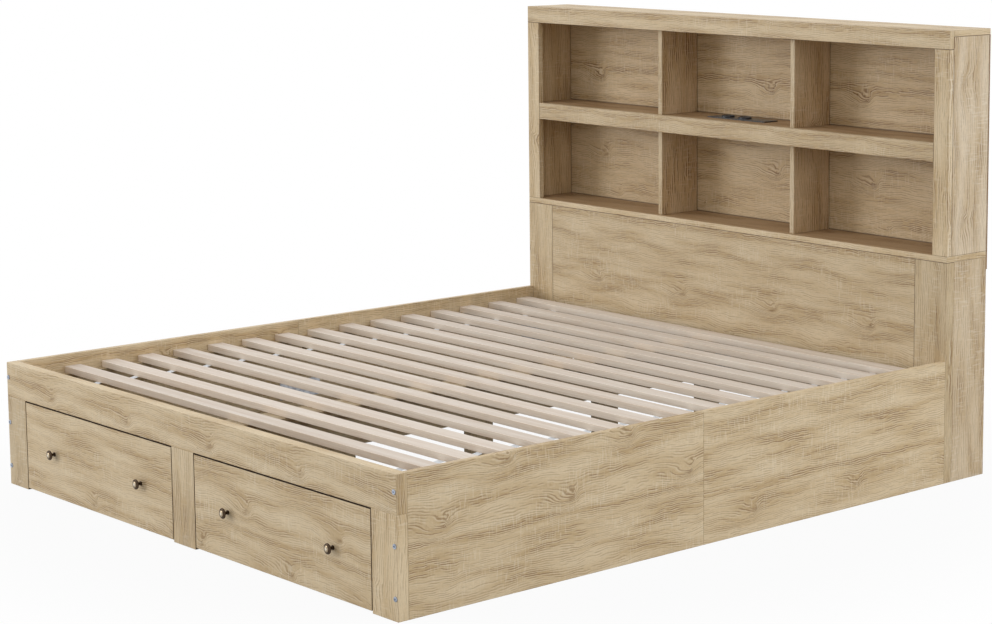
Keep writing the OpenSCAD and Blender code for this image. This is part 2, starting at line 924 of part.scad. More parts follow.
module drawer_back(side) {
    color(oak_shade) on_side(side) difference() {
        board(box_in_x, [box_in_y[1], box_y[1]], box_z);
        bottom_groove();
        box_screw_places() box_screw_hole();
    }
}

module drawer_inner_side(side) {
    color(oak_shade) on_side(side) difference() {
        board([box_x[0], box_in_x[0]], box_y, box_z);
        bottom_groove();
        box_screw_places() box_screw_hole();
    }
}

module drawer_outer_side(side) {
    color(oak_shade) on_side(side) difference() {
        board([box_in_x[1], box_x[1]], box_y, box_z);
        bottom_groove();
        box_screw_places() box_screw_hole();
    }
}

module drawer_bottom(side) {
    reach = groove_depth - groove_clear;
    x = [box_in_x[0] - reach, box_in_x[1] + reach];
    y = [box_in_y[0] - reach, box_in_y[1] + reach];
    color(pale_wood) on_side(side) block(x, y, [bottom_z, bottom_z + bottom_t]);
}

module drawer_battens(side) {
    color(pale_wood) on_side(side) difference() {
        for (y = batten_y) board(box_in_x, [y, y + batten_w], [caster_h, bottom_z]);
        caster_screw_places() screw_hole();
    }
}

// A mushroom knob: foot, coved neck, flared underside, round rim, groove and dome.
module knob() {
    r = knob_d / 2;
    foot_r = knob_foot_d / 2;
    neck_r = knob_neck_d / 2;
    foot_h = 2;
    dome_h = 3;
    rim_h = 3;
    rim_z = knob_h - dome_h - rim_h;
    rim_in_r = r - rim_h;
    groove = 0.8;
    dome_r = rim_in_r - 2 * groove;
    dome_z = rim_z + rim_h;
    under_h = 4;
    cove = foot_r - neck_r;
    cove_z = foot_h + cove;
    points = [
        [0, 0],
        [foot_r, 0],
        for (a = [0 : 15 : 90]) [neck_r + cove * (1 - sin(a)), cove_z - cove * cos(a)],
        for (a = [0 : 15 : 75]) [neck_r + (r - neck_r) * sin(a), rim_z - under_h * cos(a)],
        for (a = [0 : 15 : 90]) [rim_in_r + rim_h * cos(a), rim_z + rim_h * sin(a)],
        [rim_in_r - groove, dome_z - groove],
        for (a = [0 : 10 : 90]) [dome_r * cos(a), dome_z + dome_h * sin(a)]
    ];
    rotate_extrude($fn = 96) polygon(points);
}

module drawer_knobs(side) {
    color(pewter) on_side(side) knob_places() difference() {
        knob();
        fastener_hole(screw_r, knob_hole_depth);
    }
}

module drawer_screws(side) {
    color(steel) on_side(side) {
        knob_screw_places() fastener(screw_r, knob_screw_l, screw_head_d / 2, screw_head_h);
        box_screw_places() fastener(screw_r, box_screw_l, screw_head_d / 2, screw_head_h);
        caster_screw_places() wood_screw();
    }
}

module caster_bracket() {
    half_x = caster_plate_x / 2;
    half_y = caster_plate_y / 2;
    difference() {
        union() {
            translate([-half_x, -half_y, caster_h - bracket_t])
                cube([caster_plate_x, caster_plate_y, bracket_t]);
            for (s = [-1, 1]) {
                translate([s * (cheek_x + cheek_t / 2), 0, wheel_r]) {
                    rotate([0, 90, 0])
                        cylinder(h = cheek_t, r = cheek_w / 2, center = true, $fn = fine);
                    translate([-cheek_t / 2, -cheek_w / 2, 0])
                        cube([cheek_t, cheek_w, caster_h - bracket_t - wheel_r]);
                }
            }
        }
        translate([0, 0, wheel_r]) rotate([0, 90, 0])
            cylinder(h = caster_plate_x, r = axle_r + axle_clear, center = true, $fn = fine);
    }
}

module drawer_caster_brackets(side) {
    color(steel) on_side(side) difference() {
        caster_places() caster_bracket();
        caster_screw_places() screw_hole();
    }
}

module caster_axle() {
    half = cheek_x + cheek_t;
    translate([0, 0, wheel_r]) rotate([0, 90, 0]) {
        cylinder(h = 2 * half, r = axle_r, center = true, $fn = fine);
        for (s = [-1, 1]) {
            translate([0, 0, s * (half + axle_head_h / 2)])
                cylinder(h = axle_head_h, r = axle_head_r, center = true, $fn = fine);
        }
    }
}

module drawer_caster_axles(side) { color(steel) on_side(side) caster_places() caster_axle(); }

module caster_wheel() {
    half = wheel_w / 2;
    bevel = 2;
    hub_r = 8;
    dish = 1.5;
    bore_r = axle_r + axle_clear;
    translate([0, 0, wheel_r]) rotate([0, 90, 0])
        rotate_extrude($fn = 96)
            polygon([
                [bore_r, -half], [hub_r, -half], [hub_r + dish, -half + dish],
                [wheel_r - bevel - dish, -half + dish], [wheel_r - bevel, -half], [wheel_r, -half + bevel],
                [wheel_r, half - bevel], [wheel_r - bevel, half], [wheel_r - bevel - dish, half - dish],
                [hub_r + dish, half - dish], [hub_r, half], [bore_r, half]
            ]);
}

// The two wheels that turn on one line across the drawer, at its foot or head end.
module drawer_wheels(side, end) {
    for (x = caster_x) {
        color(grey_plastic) on_side(side)
            upright([x, batten_y[end] + batten_w / 2, 0]) caster_wheel();
    }
}

footboard_top_rail();
footboard_post(-1);  // footboard_post_left
footboard_post(1);  // footboard_post_right
footboard_centre_stile();
footboard_bolts();
side_rail_foot(-1);  // side_rail_left_foot
side_rail_head(-1);  // side_rail_left_head
side_rail_foot(1);  // side_rail_right_foot
side_rail_head(1);  // side_rail_right_head
slat_cleats();
steel_brackets();
bracket_screws();
dowels();
slats();
slat_tapes();
centre_beam_top();
centre_beam_web();
centre_legs();
headboard_post(-1);  // headboard_post_left
headboard_post(1);  // headboard_post_right
headboard_panel();
headboard_base_side(-1);  // headboard_base_side_left
headboard_base_side(1);  // headboard_base_side_right
bookcase_bottom();
bookcase_side(-1);  // bookcase_side_left
bookcase_side(1);  // bookcase_side_right
bookcase_top();
bookcase_shelf();
bookcase_back();
bookcase_stile(-1);  // bookcase_stile_left
bookcase_stile(1);  // bookcase_stile_right
bookcase_top_fascia();
bookcase_shelf_fascia();
bookcase_dividers();
charging_unit_plate();
charging_unit_housing();
drawer_front(-1);  // drawer_left_front
drawer_back(-1);  // drawer_left_back
drawer_inner_side(-1);  // drawer_left_inner_side
drawer_outer_side(-1);  // drawer_left_outer_side
drawer_bottom(-1);  // drawer_left_bottom
drawer_battens(-1);  // drawer_left_battens
drawer_knobs(-1);  // drawer_left_knobs
drawer_screws(-1);  // drawer_left_screws
drawer_caster_brackets(-1);  // drawer_left_caster_brackets
drawer_caster_axles(-1);  // drawer_left_caster_axles
drawer_wheels(-1, 0);  // drawer_left_foot_wheels
drawer_wheels(-1, 1);  // drawer_left_head_wheels
drawer_front(1);  // drawer_right_front
drawer_back(1);  // drawer_right_back
drawer_inner_side(1);  // drawer_right_inner_side
drawer_outer_side(1);  // drawer_right_outer_side
drawer_bottom(1);  // drawer_right_bottom
drawer_battens(1);  // drawer_right_battens
drawer_knobs(1);  // drawer_right_knobs
drawer_screws(1);  // drawer_right_screws
drawer_caster_brackets(1);  // drawer_right_caster_brackets
drawer_caster_axles(1);  // drawer_right_caster_axles
drawer_wheels(1, 0);  // drawer_right_foot_wheels
drawer_wheels(1, 1);  // drawer_right_head_wheels
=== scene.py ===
"""Looks of the storage bed: oak foil boards, pale slats, pewter knobs and a soft white studio.

Sizes are in metres in the bed's own frame: X across it, Y from foot to head, Z up.
"""

import logging
import math
from collections.abc import Mapping, Sequence
from dataclasses import dataclass, field
from enum import Enum
from typing import Any

import bmesh
import bpy
from mathutils import Matrix, Vector


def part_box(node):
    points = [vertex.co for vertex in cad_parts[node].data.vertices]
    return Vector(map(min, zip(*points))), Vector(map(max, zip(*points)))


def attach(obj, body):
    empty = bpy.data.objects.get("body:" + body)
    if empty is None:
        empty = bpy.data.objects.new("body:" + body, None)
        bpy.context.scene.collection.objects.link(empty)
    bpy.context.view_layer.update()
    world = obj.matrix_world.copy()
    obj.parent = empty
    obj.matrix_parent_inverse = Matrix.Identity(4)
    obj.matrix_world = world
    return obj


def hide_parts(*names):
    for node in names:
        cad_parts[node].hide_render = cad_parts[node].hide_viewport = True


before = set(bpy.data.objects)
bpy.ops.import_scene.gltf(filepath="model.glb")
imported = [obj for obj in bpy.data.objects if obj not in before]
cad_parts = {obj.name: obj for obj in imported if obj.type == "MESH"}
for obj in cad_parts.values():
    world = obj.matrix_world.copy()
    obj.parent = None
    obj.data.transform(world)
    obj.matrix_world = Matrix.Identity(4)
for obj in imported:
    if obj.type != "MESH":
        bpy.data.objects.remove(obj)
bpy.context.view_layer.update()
FRAME_BODY = "bed_frame"
SIDES = ("left", "right")
MM = 0.001

# A distance that is past every face of the bed.
FAR = 9.0
# How squarely a face looks along an axis, from where that starts to count to where it counts in full.
SQUARE_ON = (0.80, 0.95)
END_ON = (0.60, 0.80)
CHAMFERED = (0.93, 0.80)
# The oak print's growth lines in a metre: as a rule, and on the uprights of both ends of the bed.
LEVEL_LINES = 175.0
UPRIGHT_LINES = 120.0

Colour = tuple[float, float, float]
log = logging.getLogger("storage_bed")


class Axis(Enum):
    """The bed's axes, by the way that they run in it."""

    ACROSS = "x"
    ALONG = "y"
    UP = "z"


def srgb(red: float, green: float, blue: float) -> Colour:
    """A colour given in 0 to 255 display values, as linear light.

    Args:
        red: The red display value.
        green: The green display value.
        blue: The blue display value.

    Returns:
        The same colour in linear light.
    """
    def linear(value: float) -> float:
        """One display value as linear light."""
        share = value / 255
        return share / 12.92 if share <= 0.04045 else ((share + 0.055) / 1.055) ** 2.4

    return linear(red), linear(green), linear(blue)


class Value:
    """A number's socket in a shader, with the usual operators as Math nodes."""

    def __init__(self, tree: "ShaderTree", socket: bpy.types.NodeSocket) -> None:
        """Keeps the tree and the socket that carries the number."""
        self.tree = tree
        self.socket = socket

    def __add__(self, other: "Value | float") -> "Value":
        """The sum."""
        return self.tree.math("ADD", self, other)

    def __radd__(self, other: float) -> "Value":
        """The sum, with a plain number first."""
        return self.tree.math("ADD", other, self)

    def __sub__(self, other: "Value | float") -> "Value":
        """The difference."""
        return self.tree.math("SUBTRACT", self, other)

    def __rsub__(self, other: float) -> "Value":
        """The difference, with a plain number first."""
        return self.tree.math("SUBTRACT", other, self)

    def __mul__(self, other: "Value | float") -> "Value":
        """The product."""
        return self.tree.math("MULTIPLY", self, other)

    def __rmul__(self, other: float) -> "Value":
        """The product, with a plain number first."""
        return self.tree.math("MULTIPLY", other, self)

    def __truediv__(self, other: "Value | float") -> "Value":
        """The quotient."""
        return self.tree.math("DIVIDE", self, other)

    def __pow__(self, other: "Value | float") -> "Value":
        """The power."""
        return self.tree.math("POWER", self, other)

    def __mod__(self, other: "Value | float") -> "Value":
        """The remainder, never below zero."""
        return self.tree.math("FLOORED_MODULO", self, other)

    def __neg__(self) -> "Value":
        """The negative."""
        return self.tree.math("MULTIPLY", self, -1.0)

    def __abs__(self) -> "Value":
        """The size without its sign."""
        return self.tree.math("ABSOLUTE", self)

    def swing(self, width: float) -> "Value":
        """How far the value lies from 0.5, times a width."""
        return (self - 0.5) * width

    def between(self, low: float, high: float) -> "Value":
        """1 where the value lies between two numbers, and 0 elsewhere."""
        past = self.tree.math("GREATER_THAN", self, low)
        return past * self.tree.math("LESS_THAN", self, high)

    def step(self, low: float, high: float) -> "Value":
        """A smooth rise from 0 at low to 1 at high, or a fall where low is above high.

        Args:
            low: The value at which the result is 0.
            high: The value at which the result is 1.

        Returns:
            The smoothed share of the way from low to high.
        """
        start, end = (low, high) if low < high else (high, low)
        node = self.tree.add(
            "ShaderNodeMapRange",
            {"interpolation_type": "SMOOTHSTEP"},
            {"Value": self, "From Min": start, "From Max": end},
        )
        rise = Value(self.tree, node.outputs["Result"])
        return rise if low < high else 1 - rise


class ShaderTree:
    """The nodes of one material or world, from the place to the colour, roughness and bump."""

    def __init__(self, owner: bpy.types.Material | bpy.types.World) -> None:
        """Empties the nodes of a material or world.

        Args:
            owner: The material or world.
        """
        owner.use_nodes = True
        self.owner = owner
        self.tree = owner.node_tree
        self.tree.nodes.clear()
        self.parts: dict[str, dict[str, Value]] = {}

    def add(
        self,
        kind: str,
        settings: Mapping[str, Any] | None = None,
        inputs: Mapping[str | int, Any] | None = None,
    ) -> bpy.types.Node:
        """Adds a node.

        Args:
            kind: The node's type.
            settings: Its properties, set first.
            inputs: Values or links for its sockets, by name or number.

        Returns:
            The node.
        """
        node = self.tree.nodes.new(kind)
        for key, value in (settings or {}).items():
            setattr(node, key, value)
        for key, value in (inputs or {}).items():
            self.feed(node.inputs[key], value)
        return node

    def feed(self, target: bpy.types.NodeSocket, value: Any) -> None:
        """Links a socket or sets a plain value.

        Args:
            target: The socket to feed.
            value: A Value, a socket, a number, or three numbers for a colour or a vector.
        """
        if isinstance(value, Value):
            value = value.socket
        if isinstance(value, bpy.types.NodeSocket):
            self.tree.links.new(value, target)
        elif isinstance(value, Sequence):
            size = len(target.default_value)
            target.default_value = (*value, 1.0)[:size]
        else:
            target.default_value = value

    def math(self, operation: str, *values: "Value | float") -> Value:
        """A Math node's result.

        Args:
            operation: The operation's name.
            values: Its numbers, in order.

        Returns:
            The result.
        """
        node = self.add("ShaderNodeMath", {"operation": operation}, dict(enumerate(values)))
        return Value(self, node.outputs[0])

    def split(self, output: str) -> dict[str, Value]:
        """One of the Texture Coordinate node's outputs, in its three parts.

        Args:
            output: The output's name.

        Returns:
            The values of x, y and z, by letter.
        """
        if output not in self.parts:
            coordinates = self.add("ShaderNodeTexCoord")
            node = self.add("ShaderNodeSeparateXYZ", inputs={"Vector": coordinates.outputs[output]})
            self.parts[output] = {axis: Value(self, node.outputs[axis.upper()]) for axis in "xyz"}
        return self.parts[output]

    def axes(self) -> dict[str, Value]:
        """The place on the surface in the piece's own frame, by axis."""
        return self.split("Object")

    def normals(self) -> dict[str, Value]:
        """How squarely the surface looks along each axis, from 0 to 1 without sign."""
        return {axis: abs(part) for axis, part in self.split("Normal").items()}

    def facing(self, axis: Axis) -> Value:
        """1 on the faces that look squarely along an axis, and 0 on the others."""
        return self.normals()[axis.value].step(*SQUARE_ON)

    def point(self, x: "Value | float", y: "Value | float", z: "Value | float" = 0.0) -> Any:
        """Three numbers as one vector socket."""
        return self.add("ShaderNodeCombineXYZ", inputs={"X": x, "Y": y, "Z": z}).outputs[0]

    def noise(self, place: Any, detail: float, roughness: float = 0.5) -> Value:
        """Smooth noise around 0.5.

        Args:
            place: The point, already in steps of the noise.
            detail: How many finer layers are added.
            roughness: How strong the finer layers are.

        Returns:
            The noise, from 0 to 1.
        """
        node = self.add(
            "ShaderNodeTexNoise",
            {"noise_dimensions": "3D"},
            {"Vector": place, "Scale": 1.0, "Detail": detail, "Roughness": roughness},
        )
        return Value(self, node.outputs[0])

    def speckle(self, rate: float, detail: float = 2.0) -> Value:
        """Noise that is alike in every direction.

        Args:
            rate: How many features fit in a metre.
            detail: How many finer layers are added.

        Returns:
            The noise, from 0 to 1.
        """
        return self.noise(self.point(*(self.axes()[axis] * rate for axis in "xyz")), detail)

    def random(self, number: Value) -> Value:
        """A random value from 0 to 1 for each whole number."""
        node = self.add("ShaderNodeTexWhiteNoise", {"noise_dimensions": "1D"}, {"W": number})
        return Value(self, node.outputs[0])

    def mix(self, factor: "Value | float", first: Any, second: Any, blend: str = "MIX") -> Any:
        """Two colours mixed.

        Args:
            factor: 0 for the first, 1 for the second.
            first: A colour or its socket.
            second: A colour or its socket.
            blend: The way of mixing.

        Returns:
            The mixed colour's socket.
        """
        node = self.add("ShaderNodeMix", {"data_type": "RGBA", "blend_type": blend})
        colours = [s for s in node.inputs if s.type == "RGBA"]
        self.feed(node.inputs[0], factor)
        self.feed(colours[0], first)
        self.feed(colours[1], second)
        return next(s for s in node.outputs if s.type == "RGBA")

    def dimmed(self, colour: Any, tone: Value) -> Any:
        """A colour's socket, multiplied by one value."""
        return self.mix(1.0, colour, self.point(tone, tone, tone), "MULTIPLY")

    def seen(self) -> Value:
        """Tells what the camera sees from what only lights the bed.

        Returns:
            1 for rays straight from the camera, off gloss or through glass, and 0 for the others.
        """
        rays = self.add("ShaderNodeLightPath")
        direct = Value(self, rays.outputs["Is Camera Ray"])
        for kind in ("Is Glossy Ray", "Is Transmission Ray"):
            direct = self.math("MAXIMUM", direct, Value(self, rays.outputs[kind]))
        return direct

    def tinted(self, colour: Any, tints: "Sequence[FaceTint]") -> Any:
        """A colour with each tint on the faces that look along its axis.

        Args:
            colour: The colour's socket.
            tints: The tints.

        Returns:
            The tinted colour's socket.
        """
        for tint in tints:
            here = abs(self.axes()[tint.axis.value]).between(tint.nearest, tint.farthest)
            colour = self.mix(self.facing(tint.axis) * here, colour, tint.colour, "MULTIPLY")
        return colour

    def finish(
        self,
        colour: Any,
        roughness: Value,
        height: Value,
        depth: float,
        constants: Mapping[str, Any] | None = None,
    ) -> bpy.types.Material:
        """Ends the material in one Principled shader.

        Args:
            colour: The base colour.
            roughness: The roughness.
            height: The bump's height, from 0 to 1.
            depth: What a height of 1 measures, in metres.
            constants: Other settings of the shader, by socket name.

        Returns:
            The finished material.
        """
        bump = self.add("ShaderNodeBump", inputs={"Strength": 1.0, "Distance": depth, "Height": height})
        inputs = {"Base Color": colour, "Roughness": roughness, "Normal": bump.outputs["Normal"]}
        shader = self.add("ShaderNodeBsdfPrincipled", inputs={**inputs, **(constants or {})})
        self.add("ShaderNodeOutputMaterial", inputs={"Surface": shader.outputs[0]})
        return self.owner


@dataclass(frozen=True)
class BareOrShadedFaces:
    """The faces of a board without foil, which show hardboard or a painted shade: those that look along an
    axis, between two places.
    """

    axis: Axis
    low: float = -FAR
    high: float = FAR


@dataclass(frozen=True)
class FaceTint:
    """What multiplies the colour of the faces that look along an axis, between two distances from 0."""

    axis: Axis
    colour: Colour
    nearest: float = -FAR
    farthest: float = FAR


@dataclass(frozen=True)
class JointShadow:
    """The painted shadow line that the next board casts on this one, along a plane square to an axis."""

    axis: Axis
    place: float
    reach: float = 1.8 * MM


@dataclass(frozen=True)
class Fade:
    """Where a pattern starts to show, where it shows in full, and how strong it then is."""

    start: float
    full: float
    strength: float = 1.0

    def of(self, value: Value) -> Value:
        """The pattern's strength at a value of its noise."""
        return value.step(self.start, self.full) * self.strength


@dataclass(frozen=True)
class Streaks:
    """Noise stretched along the grain, by its features in a metre along and across it."""

    along: float
    across: float
    detail: float = 1.0
    roughness: float = 0.5

    def at(self, along: Value, across: Value, seed: Value | float) -> Value:
        """The noise at a place.

        Args:
            along: The distance along the grain.
            across: The distance across it, or the number of the growth line.
            seed: What tells one board from another.

        Returns:
            The noise, from 0 to 1.
        """
        place = along.tree.point(along * self.along, across * self.across, seed)
        return along.tree.noise(place, self.detail, self.roughness)


@dataclass(frozen=True)
class Waves:
    """Slow noise that comes back after each repeat of the print, read from a circle in noise space."""

    along: float
    across: float
    height: float = 1.0

    def at(self, along: Value, across: Value, repeat: float, seed: float) -> Value:
        """The waves' height at a place.

        Args:
            along: The distance along the grain.
            across: The distance across it, or the number of the growth line.
            repeat: The length of the print.
            seed: What tells one board from another.

        Returns:
            The height, from 0 to the waves' own.
        """
        tree = along.tree
        turn = along * (2 * math.pi / repeat)
        radius = self.along * repeat / (2 * math.pi)
        circle = (tree.math("COSINE", turn) * radius, tree.math("SINE", turn) * radius)
        return tree.noise(tree.point(*circle, across * self.across + seed), 1.0) * self.height


@dataclass(frozen=True)
class Knots:
    """One small ragged knot in each lane and repeat of the print, with the arcs round it."""

    lane: float = 137 * MM
    lift: float = 24.5 * MM
    tail: float = 80 * MM
    nose: float = 22 * MM
    half_width: float = 30 * MM
    eye_length: float = 26 * MM
    eye_width: float = 10 * MM
    slant: float = 0.12
    ragged: Streaks = Streaks(38.0, 60.0, 2.0)
    ragged_along: float = 30 * MM
    ragged_across: float = 22 * MM
    # Each lane's random number moves its knots along it, and draws how strong they are.
    lane_offset: float = 3.0
    draws: float = 7.0
    present: Fade = Fade(0.25, 0.60)
    arc_darkness: float = 0.75
    eye_sharpness: float = 4.0
    eye_ink: float = 0.5

    def at(self, along: Value, across: Value, repeat: float, seed: float) -> tuple[Value, Value]:
        """How near a place is to the lane's knot.

        Args:
            along: The distance along the grain.
            across: The distance across the grain.
            repeat: The length of the print.
            seed: What tells one board from another.

        Returns:
            1 in the middle of the arcs round the knot, and 1 in its eye.
        """
        tree = along.tree
        chance = tree.random(tree.math("FLOOR", across / self.lane))
        ragged = self.ragged.at(along, across, seed)
        offset = (along + chance * repeat * self.lane_offset) % repeat - repeat / 2
        reach = offset + ragged.swing(self.ragged_along)
        off = across % self.lane - self.lane / 2 - reach * self.slant + ragged.swing(self.ragged_across)
        strong = self.present.of((chance * self.draws) % 1.0)
        tail = tree.math("MINIMUM", reach, 0.0) / self.tail
        nose = tree.math("MAXIMUM", reach, 0.0) / self.nose
        arcs = tail ** 2 + nose ** 2 + (off / self.half_width) ** 2
        eye = (reach / self.eye_length) ** 2 + (off / self.eye_width) ** 2
        return tree.math("EXPONENT", -arcs) * strong, tree.math("EXPONENT", -eye) * strong


@dataclass(frozen=True)
class SawMarks:
    """Fine pale marks in the print, across and along the grain, stronger in patches."""

    across: Streaks = Streaks(210.0, 26.0)
    along: Streaks = Streaks(24.0, 300.0)
    patches: Streaks = Streaks(5.0, 12.0, 2.0)
    patch_seed: float = 3.0
    across_shown: Fade = Fade(0.52, 0.70, 0.324)
    along_shown: Fade = Fade(0.56, 0.74, 0.216)
    patches_shown: Fade = Fade(0.44, 0.64)
    across_least: float = 0.20
    along_least: float = 0.40

    def at(self, along: Value, across: Value, seed: float) -> Value:
        """The strength of the marks at a place.

        Args:
            along: The distance along the grain.
            across: The distance across the grain.
            seed: What tells one board from another.

        Returns:
            The strength, from 0 to 1.
        """
        patch = self.patches_shown.of(self.patches.at(along, across, seed + self.patch_seed))
        cross = self.across_shown.of(self.across.at(along, across, seed))
        thread = self.along_shown.of(self.along.at(along, across, seed))
        cross = cross * (self.across_least + (1 - self.across_least) * patch)
        return cross + thread * (self.along_least + (1 - self.along_least) * patch)


@dataclass(frozen=True)
class OakFoil:
    """Light oak foil on board: growth lines broken into short strokes, dark bands, knots, saw marks, and
    painted shade at joints, on chamfers and on faces in gaps.
    """

    name: str
    grain: Axis
    end_grain: Axis = Axis.UP
    shift: float = 0.0
    shade: float = 1.0
    figure: float = 1.0
    lines_per_metre: float = LEVEL_LINES
    tints: tuple[FaceTint, ...] = ()
    joints: tuple[JointShadow, ...] = ()
    bare_or_shaded_faces: tuple[BareOrShadedFaces, ...] = ()
    # Faces without foil show this colour: hardboard where it is given, else a dark brown that is painted
    # shade in the gaps.
    bare_or_shaded_colour: Colour = srgb(70, 50, 33)

    # The print, which is the same on every board.
    repeat: float = 430 * MM
    across_start: float = 8.0
    across_shift: float = 0.37
    hills: Waves = Waves(3.0, 8.0, 40 * MM)
    ripple: Waves = Waves(20.0, 30.0, 10 * MM)
    knots: Knots = Knots()
    saw_marks: SawMarks = SawMarks()
    pores: Streaks = Streaks(120.0, 600.0)
    # These follow the growth lines, so their rate across the grain is in lines and not in metres.
    bands: Waves = Waves(2.8, 0.14)
    stripes: Streaks = Streaks(4.0, 0.8, 1.5, 0.6)
    strokes: Streaks = Streaks(20.0, 3.7)
    fibres: Streaks = Streaks(26.0, 1.7, 2.0, 0.7)

    pale: Colour = srgb(214, 194, 160)
    tan: Colour = srgb(197, 173, 134)
    streak: Colour = srgb(172, 143, 99)
    brown: Colour = srgb(118, 84, 42)
    thread: Colour = srgb(226, 213, 188)
    # The brown of the painted shadow at joints.
    joint_shadow_colour: Colour = srgb(66, 44, 26)

    # Where each part of the print shows and how strong it is, and how strong the painted shade at joints
    # and on chamfers is.
    tan_bands: Fade = Fade(0.30, 0.60, 0.8)
    dark_bands: Fade = Fade(0.48, 0.66)
    dark_stripes: Fade = Fade(0.32, 0.58, 0.62)
    inked_strokes: Fade = Fade(0.40, 0.55)
    inked_fibres: Fade = Fade(0.52, 0.76)
    bare_or_shaded_chips: Fade = Fade(0.35, 0.70)
    line_rise: Fade = Fade(0.42, 0.74)
    line_end: Fade = Fade(1.0, 0.86)
    shoulder_lag: float = 0.42
    pale_stroke: float = 0.42
    pale_fibre: float = 0.24
    dark_fibre: float = 0.54
    shoulder_ink: float = 0.45
    line_ink: float = 0.72
    # How dark the painted shadow at joints is.
    joint_shadow_strength: float = 0.85
    # Painted shade on the chamfered edges, as in the grooves between boards.
    chamfer_painted_shade: float = 0.14
    fibre_tone: float = 0.36
    pore_tone: float = 0.24
    chip_light: float = 1.5

    # The surface: how rough it is, and how the parts of the print stand out of it.
    roughness: float = 0.52
    fibre_roughness: float = 0.16
    line_gloss: float = 0.05
    bare_or_shaded_roughness: float = 0.40
    fibre_height: float = 0.6
    pore_height: float = 0.3
    line_depth: float = 0.4
    relief: float = 0.25 * MM
    specular: float = 0.35

    def material(self) -> bpy.types.Material:
        """Builds the foil.

        Returns:
            The finished material.
        """
        tree = ShaderTree(bpy.data.materials.new(self.name))
        along, across, edge = self._foil_place(tree)
        around, eye = self.knots.at(along, across, self.repeat, self.shift)
        hills = self.hills.at(along, across, self.repeat, self.shift)
        ripple = self.ripple.at(along, across, self.repeat, self.shift)
        count = (across + hills + ripple + around * self.knots.lift) * self.lines_per_metre
        bands = self.bands.at(along, count, self.repeat, self.shift)
        stripes = self.dark_stripes.of(self.stripes.at(along, count, self.shift))
        strokes = self.inked_strokes.of(self.strokes.at(along, tree.math("FLOOR", count), self.shift))
        fibres = self.fibres.at(along, count, self.shift)
        pores = self.pores.at(along, across, self.shift)

        dark = tree.math("MAXIMUM", self.dark_bands.of(bands), around * self.knots.arc_darkness)
        strokes = strokes * self.figure * (self.pale_stroke + (1 - self.pale_stroke) * dark)
        lines = self._line(count) * strokes
        shoulders = self._line(count + self.shoulder_lag) * strokes
        fibre_ink = self.pale_fibre + (self.dark_fibre - self.pale_fibre) * dark
        inks = (
            (dark * stripes, self.streak),
            (shoulders * self.shoulder_ink, self.thread),
            (lines * self.line_ink, self.brown),
            (self.inked_fibres.of(fibres) * fibre_ink * self.figure, self.brown),
            (eye ** self.knots.eye_sharpness * self.knots.eye_ink, self.brown),
            (self.saw_marks.at(along, across, self.shift), self.thread),
        )
        colour = tree.mix(self.tan_bands.of(bands), self.pale, self.tan)
        for strength, ink in inks:
            colour = tree.mix(strength, colour, ink)

        tone = 1.0 + fibres.swing(self.fibre_tone) + pores.swing(self.pore_tone)
        # The chamfers are darkened here as painted shade.
        colour = tree.dimmed(colour, tone * self.shade * (1 - self.chamfer_painted_shade * edge))
        # Painted shadow along the joints with other boards.
        if self.joints:
            colour = tree.mix(self._joint_shadow(tree) * self.joint_shadow_strength, colour, self.joint_shadow_colour)
        colour = tree.tinted(colour, self.tints)
        rough = self.roughness + fibres.swing(self.fibre_roughness) - self.line_gloss * lines
        # Faces without foil: hardboard, or painted shade in the gaps.
        if self.bare_or_shaded_faces:
            bare_or_shaded_mask = self._find_bare_or_shaded(tree)
            light_chips = tuple(self.chip_light * part for part in self.bare_or_shaded_colour)
            colour = tree.mix(bare_or_shaded_mask, colour, tree.mix(self.bare_or_shaded_chips.of(pores), self.bare_or_shaded_colour, light_chips))
            rough = rough + bare_or_shaded_mask * self.bare_or_shaded_roughness
        height = self.fibre_height * fibres + self.pore_height * pores - self.line_depth * lines
        return tree.finish(colour, rough, height, self.relief, {"Specular IOR Level": self.specular})

    def _foil_place(self, tree: ShaderTree) -> tuple[Value, Value, Value]:
        """Where a point lies on the foil.

        Args:
            tree: The material that is built.

        Returns:
            The distance along the grain, the distance across it, and 1 on chamfered edges.
        """
        place = tree.axes()
        facing = tree.normals()
        main = self.grain.value
        others = [axis for axis in "xyz" if axis != main]
        end = self.end_grain.value if self.end_grain is not self.grain else others[0]
        side = next(axis for axis in others if axis != end)
        on_end = facing[main].step(*END_ON)
        along = place[main] + (place[end] - place[main]) * on_end
        across = place[others[0]] + place[others[1]]
        across = across + (place[side] - across) * on_end
        across = across + self.shift * self.across_shift + self.across_start
        squarely = tree.math("MAXIMUM", tree.math("MAXIMUM", facing["x"], facing["y"]), facing["z"])
        return along + self.shift, across, squarely.step(*CHAMFERED)

    def _find_bare_or_shaded(self, tree: ShaderTree) -> Value | float:
        """Finds the faces without foil, which show hardboard or painted shade.

        Args:
            tree: The material that is built.

        Returns:
            1 on those faces, and 0 elsewhere.
        """
        bare_or_shaded_mask: Value | float = 0.0
        for face in self.bare_or_shaded_faces:
            here = tree.axes()[face.axis.value].between(face.low, face.high)
            bare_or_shaded_mask = tree.math("MAXIMUM", bare_or_shaded_mask, here * tree.facing(face.axis))
        return bare_or_shaded_mask

    def _joint_shadow(self, tree: ShaderTree) -> Value | float:
        """Finds the narrow strips beside the joints with other boards.

        Args:
            tree: The material that is built.

        Returns:
            1 at a joint, and 0 a little way off and on the faces that look along its axis.
        """
        shadow: Value | float = 0.0
        for joint in self.joints:
            near = abs(tree.axes()[joint.axis.value] - joint.place).step(joint.reach, 0.0)
            shadow = tree.math("MAXIMUM", shadow, near * (1 - tree.facing(joint.axis)))
        return shadow

    def _line(self, count: Value) -> Value:
        """Thin dark lines with a soft rise and a sharp end, one for each whole step."""
        part = count % 1.0
        return self.line_rise.of(part) * self.line_end.of(part)


